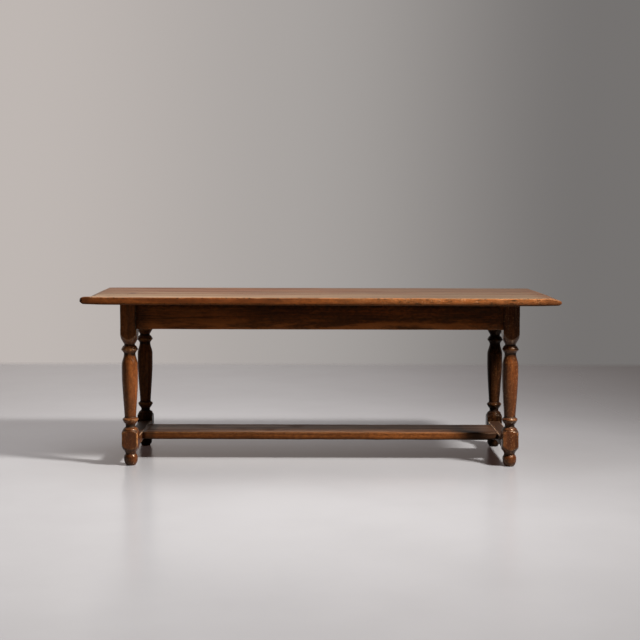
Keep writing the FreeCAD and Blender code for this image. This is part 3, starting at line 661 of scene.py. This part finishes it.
def bevelEdges(bm, edges, radius, segments):
    bmesh.ops.bevel(bm, geom=edges, offset=radius, offset_type="OFFSET", segments=segments, profile=0.5,
                    affect="EDGES", clamp_overlap=True, material=-1)


def roundEdges(bm, wanted, radius, segments):
    bevelEdges(bm, [edge for edge in bm.edges if wanted(edge)], radius, segments)


def boxBlank(low, high):
    bm = bmesh.new()
    bmesh.ops.create_cube(bm, size=1.0)
    bmesh.ops.scale(bm, vec=high - low, verts=bm.verts[:])
    bmesh.ops.translate(bm, vec=(low + high) / 2, verts=bm.verts[:])
    return bm


def both(edge, test):
    return all(test(vert.co) for vert in edge.verts)


def near(first, second):
    return abs(first - second) < 1e-5


def waver(spot, along, across, draw):
    # smooth unevenness between -1 and 1
    return noise.noise(Vector((spot.x * along, spot.y * across, draw)))


# the top

topBoards = dict(
    names=["Front", "Middle", "Back"],
    ends={-1: (1.0505, 0.0), 1: (1.0465, 0.021)},  # half length, and how far out of square
    cornerRound={-1: 0.015, 1: 0.024},  # seen from above, left and right
    cornerSegments=8,
    upperRound=(0.0065, 7),  # radius and segments
    lowerRound=(0.009, 6),
    jointRound=(0.0015, 2),  # soft arris beside a joint
    jointCalm=0.008,  # not rubbed this close to a joint
    curl={-1: 0.003, 1: 0.003},  # rise of the ends
    curlPower=1.5,
    overhang=0.12,  # length that curls
    tilt=0.0013,  # the front edge rises to the left
    wave=0.0011,
    waveRise=0.6,  # share of it that goes up and down
    waveNoise=(3.1, 5.0, 4.0), wanderNoise=(4.3, 2.0, 9.0),  # how often along, across, and the draw
    chips=0.0022, chipScale=34.0,
    # rubbed ends, from the back corner to the front one: share of the depth, how far in, how deep from above
    endWear={-1: [(0.0, 0.008, 0.002), (0.6, 0.034, 0.013), (0.8, 0.052, 0.018), (0.94, 0.06, 0.016),
                     (1.0, 0.03, 0.003)],
                1: [(0.0, 0.008, 0.002), (0.6, 0.028, 0.008), (1.0, 0.056, 0.016)]},
    fallPower=1.1,
    endUnder=(0.016, 0.005),  # the same from below, all along
    nose={-1: 0.01, 1: 0.006},  # how much the end's middle stands out
    noseReach=0.022,
    cuts=0.01,
)
topLow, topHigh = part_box("top_board_front")[0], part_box("top_board_back")[1]
topDepth = topHigh.y - topLow.y
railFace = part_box("apron_front")[0].y


def endOfTop(side, y):
    half, skew = topBoards["ends"][side]
    return side * half - skew * y / topDepth


def placeOnTop(spot):
    # which end, how far in from it, and how far forward from the back edge
    side = math.copysign(1, spot.x)
    inward = side * endOfTop(side, spot.y) - abs(spot.x)
    return side, inward, within((topHigh.y - spot.y) / topDepth)


def settle(spot):
    # an old top: its front corners curl up and the arrises wander
    side, inward, forward = placeOnTop(spot)
    out = within((abs(spot.y) - abs(railFace)) / (topHigh.y - abs(railFace)))
    free = max(0.0, 1 - inward / topBoards["overhang"])
    wave = waver(spot, *topBoards["waveNoise"])
    wander = waver(spot, *topBoards["wanderNoise"])
    curl = topBoards["curl"][side] * forward * free ** topBoards["curlPower"]
    front = out * topBoards["tilt"] * (1 - spot.x / cadBox[1].x) if spot.y < 0 else 0.0
    rise = curl + front + out * topBoards["waveRise"] * topBoards["wave"] * wave
    return Vector((0.0, out * topBoards["wave"] * wander, rise))


def wornEnd(spot):
    # the ends are rubbed round, most of all at the front corners
    side, inward, forward = placeOnTop(spot)
    stations = topBoards["endWear"][side]
    for first, second in zip(stations, stations[1:]):
        if forward <= second[0]:
            break
    between = (forward - first[0]) / (second[0] - first[0])
    reach, drop = [a + (b - a) * between for a, b in zip(first[1:], second[1:])]
    underReach, underRise = topBoards["endUnder"]
    upper = max(0.0, (spot.z - topLow.z) / (topHigh.z - topLow.z))
    fall = drop * upper * max(0.0, 1 - inward / reach) ** topBoards["fallPower"]
    rise = underRise * (1 - upper) * max(0.0, 1 - inward / underReach) ** 2
    draw = (topBoards["nose"][side] * forward ** 2 * (2 * upper - 1) ** 2
            * max(0.0, 1 - inward / topBoards["noseReach"]))
    return Vector((-side * draw, 0.0, rise - fall))


def makeBoard(name):
    node = "top_board_" + name.lower()
    low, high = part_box(node)
    bm = boxBlank(low, high)
    for vert in bm.verts:
        vert.co.x = endOfTop(math.copysign(1, vert.co.x), vert.co.y)
    outer = [y for y in (low.y, high.y) if near(abs(y), topHigh.y)]
    atJoint = [y for y in (low.y, high.y) if not near(abs(y), topHigh.y)]

    def alongJoint(edge):
        return any(both(edge, lambda co: near(co.y, y)) for y in atJoint)

    def atCorner(edge, side):
        upright = not near(edge.verts[0].co.z, edge.verts[1].co.z)
        return upright and both(edge, lambda co: near(co.y, outer[0]) and co.x * side > 0)

    def atHeight(edge, height):
        return both(edge, lambda co: near(co.z, height))

    if outer:
        for side, radius in topBoards["cornerRound"].items():
            roundEdges(bm, lambda edge: atCorner(edge, side), radius, topBoards["cornerSegments"])
    roundEdges(bm, lambda edge: atHeight(edge, high.z) and not alongJoint(edge), *topBoards["upperRound"])
    roundEdges(bm, lambda edge: atHeight(edge, low.z) and not alongJoint(edge), *topBoards["lowerRound"])
    roundEdges(bm, lambda edge: atHeight(edge, high.z) and alongJoint(edge), *topBoards["jointRound"])
    cutLoops(bm, 0, low.x, high.x, topBoards["cuts"])
    cutLoops(bm, 1, low.y, high.y, 2 * topBoards["cuts"])
    for vert in bm.verts:
        vert.co += settle(vert.co) + wornEnd(vert.co)

    def besideJoint(spot):
        return any(abs(spot.y - y) < topBoards["jointCalm"] for y in atJoint)

    finishPiece("topBoard" + name, bm, "top" + name, [node], topBoards["chips"],
                topBoards["chipScale"], besideJoint)


for boardName in topBoards["names"]:
    makeBoard(boardName)
print("top made")


# the legs

turnedLeg = dict(
    columns=128,  # sides around the leg, a multiple of 8
    crowding=0.14,  # brings columns closer together at the arrises of the blocks
    ring=0.003,  # height of one row of faces
    fewestRings=4, fewestOnShoulders=12,
    ringSlack=1e-7,
    arris=dict(low=0.0065, high=0.0028),  # rubbed radius of the blocks
    midway=0.3,  # height between the two blocks
    wobble=0.0005, swayAround=9, swayUp=22,
    chips=0.0016, chipScale=55.0,
    blurs=3,  # rubbing reaches onto the faces
    earlyPower=1.25, lateFrom=0.36,
    meetingRounds=24,  # halvings that find where turned and square meet
    travels=dict(vase="early", vaseShoulder="late"),  # how the radius changes, where not evenly
    # from the floor up: rise, radius at its top, swell half way
    turnings=[
        ("ball", 0.029, 0.0306, 0.0032),
        ("ballShoulder", 0.0225, 0.024, 0.003),
        ("ankle", 0.0045, 0.0238, -0.0004),
        ("cove", 0.0175, 0.0342, -0.0014),
        ("horn", 0.027, 0.051, 0.0015),
        ("lowBlock", 0.0465, 0.051, 0.0),
        ("beadShoulder", 0.013, 0.034, -0.001),
        ("bead", 0.014, 0.0218, 0.0036),
        ("waist", 0.012, 0.0218, -0.0004),
        ("skirt", 0.015, 0.0325, 0.0012),
        ("ring", 0.012, 0.0325, 0.0032),
        ("cap", 0.006, 0.0257, -0.0008),
        ("vase", 0.206, 0.0362, 0.0),
        ("vaseShoulder", 0.081, 0.0255, 0.0),
        ("collarFoot", 0.012, 0.0336, -0.001),
        ("collar", 0.013, 0.0338, 0.0044),
        ("collarTop", 0.012, 0.024, 0.002),
        ("throat", 0.005, 0.0238, -0.0003),
        ("topShoulder", 0.049, 0.051, 0.0012),
        ("topBlock", None, 0.051, 0.0),  # as high as is left, its radius clears the corners
    ],
    sole=0.0205,
    lift=dict(leg_front_right=0.0035),  # turned a little higher than the others
    lean=dict(leg_front_right=0.0036, leg_front_left=0.0009),  # how far the foot stands to the right
    leanFrom=0.62,
    shoulders=["horn", "beadShoulder", "topShoulder"],  # where turned and square meet
)


def travel(name, share):
    kind = turnedLeg["travels"].get(name)
    if kind == "early":
        return math.sin(share * math.pi / 2) ** turnedLeg["earlyPower"]
    if kind == "late":
        late = max(0.0, (share - turnedLeg["lateFrom"]) / (1 - turnedLeg["lateFrom"]))
        return late * late * (3 - 2 * late)
    return share


def turnedRadius(turning, share):
    return (turning["from"] + (turning["to"] - turning["from"]) * travel(turning["name"], share)
            + turning["swell"] * math.sin(share * math.pi))


def laidOutTurnings(legTop, lift):
    rows, base, radius = [], 0.0, turnedLeg["sole"]
    for name, rise, end, swell in turnedLeg["turnings"]:
        if name == "topBlock":
            rise = legTop - base
        elif name == "lowBlock":
            rise += lift
        fewest = turnedLeg["fewestOnShoulders" if name in turnedLeg["shoulders"] else "fewestRings"]
        rows.append({"name": name, "base": base, "rise": rise, "from": radius, "to": end, "swell": swell,
                     "rings": max(fewest, round(rise / turnedLeg["ring"]))})
        base, radius = base + rise, end
    return rows


def squareReach(angle, half, arris):
    # how far the rounded square goes in one direction
    c, s = sorted((abs(math.cos(angle)), abs(math.sin(angle))), reverse=True)
    if half * s / c <= half - arris:
        return half / c
    inner = half - arris
    return inner * (c + s) + math.sqrt(max(0.0, arris ** 2 - inner ** 2 * (1 - 2 * c * s)))


def meetingShare(turning, reach):
    # where along a shoulder the turned surface meets the square
    low, high = 0.0, 1.0
    rising = turning["to"] > turning["from"]
    for _ in range(turnedLeg["meetingRounds"]):
        middle = (low + high) / 2
        if (turnedRadius(turning, middle) < reach) == rising:
            low = middle
        else:
            high = middle
    return (low + high) / 2


def makeLeg(name, node):
    low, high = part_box(node)
    half = (high.x - low.x) / 2
    turnings = laidOutTurnings(high.z, turnedLeg["lift"].get(node, 0.0))
    bm = bmesh.new()
    points = [(0.0, 0.0)]
    for turning in turnings:
        for number in range(turning["rings"] + (turning is turnings[-1])):
            share = number / turning["rings"]
            points.append((turnedRadius(turning, share), turning["base"] + turning["rise"] * share))
    points.append((0.0, high.z))
    line = [bm.verts.new((radius, 0.0, height)) for radius, height in points]
    for first, second in zip(line, line[1:]):
        bm.edges.new((first, second))
    bmesh.ops.spin(bm, geom=bm.verts[:] + bm.edges[:], cent=(0, 0, 0), axis=(0, 0, 1), dvec=(0, 0, 0),
                   angle=2 * math.pi, steps=turnedLeg["columns"], use_merge=True, use_duplicate=False)
    bmesh.ops.remove_doubles(bm, verts=bm.verts[:], dist=sameSpot)
    middle = Vector(((low.x + high.x) / 2, (low.y + high.y) / 2, 0.0))
    lean = turnedLeg["lean"].get(node, 0.0)
    for vert in bm.verts:
        placeOnLeg(vert, turnings, half, middle)
        vert.co.x += lean * max(0.0, 1 - vert.co.z / turnedLeg["leanFrom"])
    finish = "legFront" if middle.y < 0 else "legBack"
    finishPiece(name, bm, finish, [node], turnedLeg["chips"], turnedLeg["chipScale"],
                blurs=turnedLeg["blurs"])


def placeOnLeg(vert, turnings, half, middle):
    height = vert.co.z
    radius = math.hypot(vert.co.x, vert.co.y)
    if near(radius, 0.0):
        vert.co += middle
        return
    angle = math.atan2(vert.co.y, vert.co.x)
    angle += turnedLeg["crowding"] * math.sin(4 * angle)
    reach = squareReach(angle, half, turnedLeg["arris"]["low" if height < turnedLeg["midway"] else "high"])
    turning = next(row for row in reversed(turnings) if height >= row["base"] - turnedLeg["ringSlack"])
    if turning["name"] in turnedLeg["shoulders"]:
        share = (height - turning["base"]) / turning["rise"]
        ringThatMeets = max(1, round(meetingShare(turning, half) * turning["rings"]))
        knee = ringThatMeets / turning["rings"]
        meeting = meetingShare(turning, reach)
        if share <= knee:
            share = meeting * share / knee
        else:
            share = meeting + (1 - meeting) * (share - knee) / (1 - knee)
        height = turning["base"] + turning["rise"] * share
        radius = turnedRadius(turning, share)
    radius = min(radius, reach)
    outward = Vector((math.cos(angle), math.sin(angle), 0.0))
    around = middle * turnedLeg["swayAround"] + outward
    radius += turnedLeg["wobble"] * noise.noise(Vector((around.x, around.y, height * turnedLeg["swayUp"])))
    vert.co = middle + outward * radius + Vector((0.0, 0.0, height))


for depthName in ("front", "back"):
    for sideName in ("left", "right"):
        makeLeg("leg" + depthName.title() + sideName.title(), f"leg_{depthName}_{sideName}")
print("legs made")


# rails, stretchers, bearer and foot board: squared sticks with tenons at both ends

longRail = dict(
    axis=0, arris=0.003, segments=3, step=0.03, wave=0.0006, chips=0.0012,
    tenon=0.04, tenons=[(0.0, -0.0155, 0.012, 0.075)],  # place and size across the stick
)
endRail = dict(longRail, axis=1)
crossBearer = dict(
    axis=1, arris=0.002, segments=2, step=0.04, wave=0.0008, chips=0.001,
    tenon=0.014, tenons=[(0.0, 0.0, 0.016, 0.034)],
)
lowStretcher = dict(
    axis=1, arris=0.005, segments=4, step=0.022, wave=0.0009, chips=0.0022,
    tenon=0.045, tenons=[(0.0, 0.0, 0.018, 0.028)],
)
footBoard = dict(
    axis=0, arris=0.006, segments=5, step=0.022, wave=0.001, chips=0.0024,
    tenon=0.034, tenons=[(-0.062, 0.0, 0.058, 0.012), (0.062, 0.0, 0.058, 0.012)],
    tread=0.0016,  # hollow worn along its upper arrises
    treadHalf=0.72, treadPower=4,  # half the length that feet reach, and how squarely it ends
    treadFrom=0.84,  # share of the half width where the hollow starts
    treadPatch=(0.55, 0.45), treadNoise=(4.0, 3.0, 2.0),
    belly=0.0036,  # hewn a little thicker than squared
    bellyFade=0.045,  # length at the ends over which it thins out
)
stickWave = 9.0  # bumps per metre of a squared stick
squarely = 0.9  # least an end face looks along the stick


def pushTenon(bm, axis, end, reach, ranges):
    # draws the part of an end face that lies inside the tenon's outline out of the stick
    def inside(face):
        spot = face.calc_center_median()
        framed = all(first < spot[number] < second for number, first, second in ranges)
        return framed and near(spot[axis], end)

    faces = [face for face in bm.faces if abs(face.normal[axis]) > squarely and inside(face)]
    drawn = bmesh.ops.extrude_face_region(bm, geom=faces)["geom"]
    moved = [item for item in drawn if isinstance(item, bmesh.types.BMVert)]
    bmesh.ops.translate(bm, vec=axisVector(axis, reach), verts=moved)
    bmesh.ops.delete(bm, geom=[face for face in faces if face.is_valid], context="FACES")


def makeStick(name, node, spec, finish, shape=None):
    low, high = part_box(node)
    axis = spec["axis"]
    across = [number for number in range(3) if number != axis]
    low[axis] += spec["tenon"]
    high[axis] -= spec["tenon"]
    middle = (low + high) / 2
    bm = boxBlank(low, high)
    roundEdges(bm, lambda edge: abs((edge.verts[0].co - edge.verts[1].co)[axis]) > slack,
               spec["arris"], spec["segments"])
    cutLoops(bm, axis, low[axis], high[axis], spec["step"])
    for number in across:
        cutLoops(bm, number, low[number], high[number], spec["step"])
    for tenon in spec["tenons"]:
        ranges = []
        for number, place, wide in zip(across, tenon[:2], tenon[2:]):
            ranges.append((number, middle[number] + place - wide / 2, middle[number] + place + wide / 2))
            cutAcross(bm, number, ranges[-1][1])
            cutAcross(bm, number, ranges[-1][2])
        bm.normal_update()
        pushTenon(bm, axis, low[axis], -spec["tenon"], ranges)
        pushTenon(bm, axis, high[axis], spec["tenon"], ranges)
    bm.normal_update()
    for vert in bm.verts:
        if low[axis] - slack < vert.co[axis] < high[axis] + slack:
            vert.co += vert.normal * (spec["wave"] * noise.noise(vert.co * stickWave))
            if shape:
                vert.co += shape(vert.co, low, high, spec)
    finishPiece(name, bm, finish, [node], spec["chips"])


def trodden(spot, low, high, spec):
    # feet have hollowed the upper arrises between the legs
    along = max(0.0, 1 - (abs(spot.x) / spec["treadHalf"]) ** spec["treadPower"])
    edge = max(0.0, (abs(spot.y) / high.y - spec["treadFrom"]) / (1 - spec["treadFrom"])) ** 2
    upper = max(0.0, (spot.z - low.z) / (high.z - low.z) - 0.5) * 2
    patchMiddle, patchSwing = spec["treadPatch"]
    patch = patchMiddle + patchSwing * waver(spot, *spec["treadNoise"])
    lower = max(0.0, (high.z - spot.z) / (high.z - low.z) - 0.5) * 2
    swell = within((high.x - abs(spot.x)) / spec["bellyFade"])
    return Vector((0.0, 0.0, -spec["tread"] * along * edge * upper * patch - spec["belly"] * swell * lower))


for sideName in ("front", "back"):
    makeStick("apron" + sideName.title(), "apron_" + sideName, longRail, "longRail")
for sideName in ("left", "right"):
    makeStick("apron" + sideName.title(), "apron_" + sideName, endRail, "endRail")
    makeStick("stretcher" + sideName.title(), "stretcher_" + sideName, lowStretcher, "stretcher")
makeStick("topBearer", "top_bearer", crossBearer, "endRail")
makeStick("footBoard", "footrest_board", footBoard, "footBoard", trodden)
print("rails, stretchers and foot board made")


# riven pegs: faceted rods with a rubbed head

rivenPeg = dict(
    facets=9,
    taper=0.94,  # tip over head
    headRound=(0.001, 2),  # radius and segments
    crown=0.0006,  # head stands above its rim
    rim=0.35,  # its width, as a share of the radius
    uneven=0.07,  # share of the radius
    unevenScale=300, drawScale=50,
)


def solidsOf(node):
    # the box of each separate solid in a frame node
    bm = bmesh.new()
    bm.from_mesh(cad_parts[node].data)
    bmesh.ops.remove_doubles(bm, verts=bm.verts[:], dist=sameSpot)
    seen, boxes = set(), []
    for start in bm.verts:
        if start in seen:
            continue
        seen.add(start)
        solid = [start]
        for vert in solid:
            for edge in vert.link_edges:
                other = edge.other_vert(vert)
                if other not in seen:
                    seen.add(other)
                    solid.append(other)
        low = Vector([min(vert.co[number] for vert in solid) for number in range(3)])
        high = Vector([max(vert.co[number] for vert in solid) for number in range(3)])
        boxes.append((low, high))
    bm.free()
    return boxes


def addPeg(bm, low, high):
    size = high - low
    axis = max(range(3), key=lambda number: size[number])
    radius = min(size) / 2
    middle = (low + high) / 2
    outward = 1.0 if axis == 2 or middle[axis] > 0 else -1.0
    before = set(bm.verts)

    def made():
        return [vert for vert in bm.verts if vert not in before]

    def headFace():
        return max((face for vert in made() for face in vert.link_faces),
                   key=lambda face: face.calc_center_median().z)

    bmesh.ops.create_cone(bm, segments=rivenPeg["facets"], radius1=radius * rivenPeg["taper"], radius2=radius,
                          depth=size[axis], cap_ends=True)
    bevelEdges(bm, headFace().edges[:], *rivenPeg["headRound"])
    bmesh.ops.inset_region(bm, faces=[headFace()], thickness=radius * rivenPeg["rim"],
                           depth=rivenPeg["crown"])
    for vert in made():
        scale = rivenPeg["unevenScale"]
        riven = 1 + rivenPeg["uneven"] * waver(vert.co, scale, scale, middle.length * rivenPeg["drawScale"])
        vert.co.x *= riven
        vert.co.y *= riven
    turn = axisVector(2).rotation_difference(axisVector(axis, outward)).to_matrix().to_4x4()
    bmesh.ops.transform(bm, matrix=Matrix.Translation(middle) @ turn, verts=made())


def makePegs(name, node):
    bm = bmesh.new()
    for low, high in solidsOf(node):
        addPeg(bm, low, high)
    finishPiece(name, bm, "peg", [node])


pegNodes = [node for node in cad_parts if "pegs" in node]
for nodeName in sorted(pegNodes):
    words = nodeName.split("_")
    makePegs(words[0] + "".join(word.title() for word in words[1:]), nodeName)
for nodeName in ("edge_dowels_front", "edge_dowels_back"):  # hidden in the joints of the top
    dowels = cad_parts[nodeName].data.materials
    dowels.clear()
    dowels.append(finishes["peg"])
print("pegs made:", len(pegNodes))


# studio

floorLook = dict(
    reach=9.0, back=3.62, fade=0.16,
    color=(0.397, 0.401, 0.42), shade=0.94, rough=0.22,
    mottle=dict(noise=(1.3, 4.0, 0.55), span=(0.3, 0.7)),
    glow=(0.019, 0.008, 0.005),  # lifts the shadow on it, for the camera alone
    bounce=(0.1, 0.094, 0.09),  # what it throws back at the table
    dimmerX=(-2.4, 3.4, 1.33, 0.28),  # painted light falloff: the floor darkens from left to right
    farLiftY=(1.7, 3.6, 1.0, 1.25),  # and is painted lighter far off
)
worldLook = dict(
    wallLeft=(0.52, 0.475, 0.45), wallMiddle=(0.382, 0.358, 0.344),
    wallRight=(0.177, 0.168, 0.163), toMiddleX=(-0.25, 0.02), toRightX=(-0.03, 0.215),
    room=(0.016, 0.015, 0.014),  # the dark side behind the camera, for reflections
    aheadY=(-0.05, 0.45),
    ambientLeft=(0.045, 0.046, 0.047), ambientRight=(0.15, 0.153, 0.158),
    ambientX=(-0.9, 0.9),
    ambientBack=(0.36, 0.35, 0.34),  # low down, for the side away from the camera
    backY=(0.45, 0.8), lowZ=(0.45, 0.1),
)
lamps = {
    "keyLamp": {"from": (2.21, -1.467, 2.98), "to": (-0.9, 0.0, 0.2), "size": 0.45, "watts": 330,
                "color": (1.0, 0.96, 0.91)},
    "skyLamp": {"from": (-0.6, 0.4, 3.6), "to": (0.0, 0.1, 0.4), "size": 2.6, "watts": 60,
                "color": (0.97, 0.98, 1.0)},
}


def addLamp(name, lamp):
    data = bpy.data.lights.new(name, "AREA")
    data.size = lamp["size"]
    data.energy = lamp["watts"]
    data.color = lamp["color"]
    made = bpy.data.objects.new(name, data)
    scene.collection.objects.link(made)
    place = Vector(lamp["from"])
    aim = (Vector(lamp["to"]) - place).to_track_quat("-Z", "Y").to_matrix().to_4x4()
    made.matrix_world = Matrix.Translation(place) @ aim


def lookedAt(tree):
    # 1 where the camera sees a thing, straight or in a reflection
    path = addNode(tree, "LightPath").outputs
    seen = calc("ADD", path["Is Camera Ray"], path["Is Glossy Ray"])
    return calc("ADD", seen, path["Is Transmission Ray"], True)


def makeFloor():
    fadeFrom, fadeTo = floorLook["back"] - floorLook["fade"], floorLook["back"] + floorLook["fade"]
    rows = {-1: -floorLook["reach"], 0: 0.0, 1: fadeTo}
    bm = bmesh.new()
    bmesh.ops.create_grid(bm, x_segments=2, y_segments=2, size=1.0)
    for vert in bm.verts:
        vert.co.x *= floorLook["reach"]
        vert.co.y = rows[round(vert.co.y)]
    material = bpy.data.materials.new("paleFloor")
    tree = newTree(material)
    spot = addNode(tree, "TexCoord").outputs["Object"]
    place = parts(spot)
    zones = zonesOf(place, floorLook)
    shade = tuple(part * floorLook["shade"] for part in floorLook["color"])
    color = blend(patches(spot, floorLook["mottle"]), floorLook["color"], shade)
    # painted light: darker to the right, lighter far off
    color = stretch(stretch(color, zones["dimmerX"]), zones["farLiftY"])
    above = calc("SUBTRACT", 1.0, addNode(tree, "NewGeometry").outputs["Backfacing"])
    solid = times(spread(place["Y"], fadeFrom, fadeTo, 1.0, 0.0), above)  # not seen from below
    seen = lookedAt(tree)
    shader = addNode(tree, "BsdfPrincipled", None, {
        "Base Color": blend(seen, floorLook["bounce"], color), "Roughness": floorLook["rough"],
        "Alpha": solid, "Emission Color": blend(seen, (0, 0, 0), floorLook["glow"]),
        "Emission Strength": 1.0})
    addNode(tree, "OutputMaterial", None, {"Surface": shader.outputs["BSDF"]})
    floor = addMesh("floor", bm, material)


def makeWorld():
    world = bpy.data.worlds.new("studioWorld")
    scene.world = world
    tree = newTree(world)
    zones = zonesOf(parts(addNode(tree, "TexCoord").outputs["Generated"]), worldLook)
    path = addNode(tree, "LightPath").outputs
    wall = blend(zones["toMiddleX"], worldLook["wallLeft"], worldLook["wallMiddle"])
    wall = blend(zones["toRightX"], wall, worldLook["wallRight"])
    lit = calc("MAXIMUM", zones["aheadY"], path["Is Camera Ray"])
    wall = blend(lit, worldLook["room"], wall)
    ambient = blend(zones["ambientX"], worldLook["ambientLeft"], worldLook["ambientRight"])
    ambient = blend(times(zones["backY"], zones["lowZ"]), ambient, worldLook["ambientBack"])
    soft = addNode(tree, "Background", None, {"Color": ambient, "Strength": 1.0})
    behind = addNode(tree, "Background", None, {"Color": wall, "Strength": 1.0})
    mix = addNode(tree, "MixShader", None, {
        0: lookedAt(tree), 1: soft.outputs[0], 2: behind.outputs[0]})
    addNode(tree, "OutputWorld", None, {"Surface": mix.outputs[0]})


makeFloor()
makeWorld()
for lampName, lampLook in lamps.items():
    addLamp(lampName, lampLook)
print("studio lit")
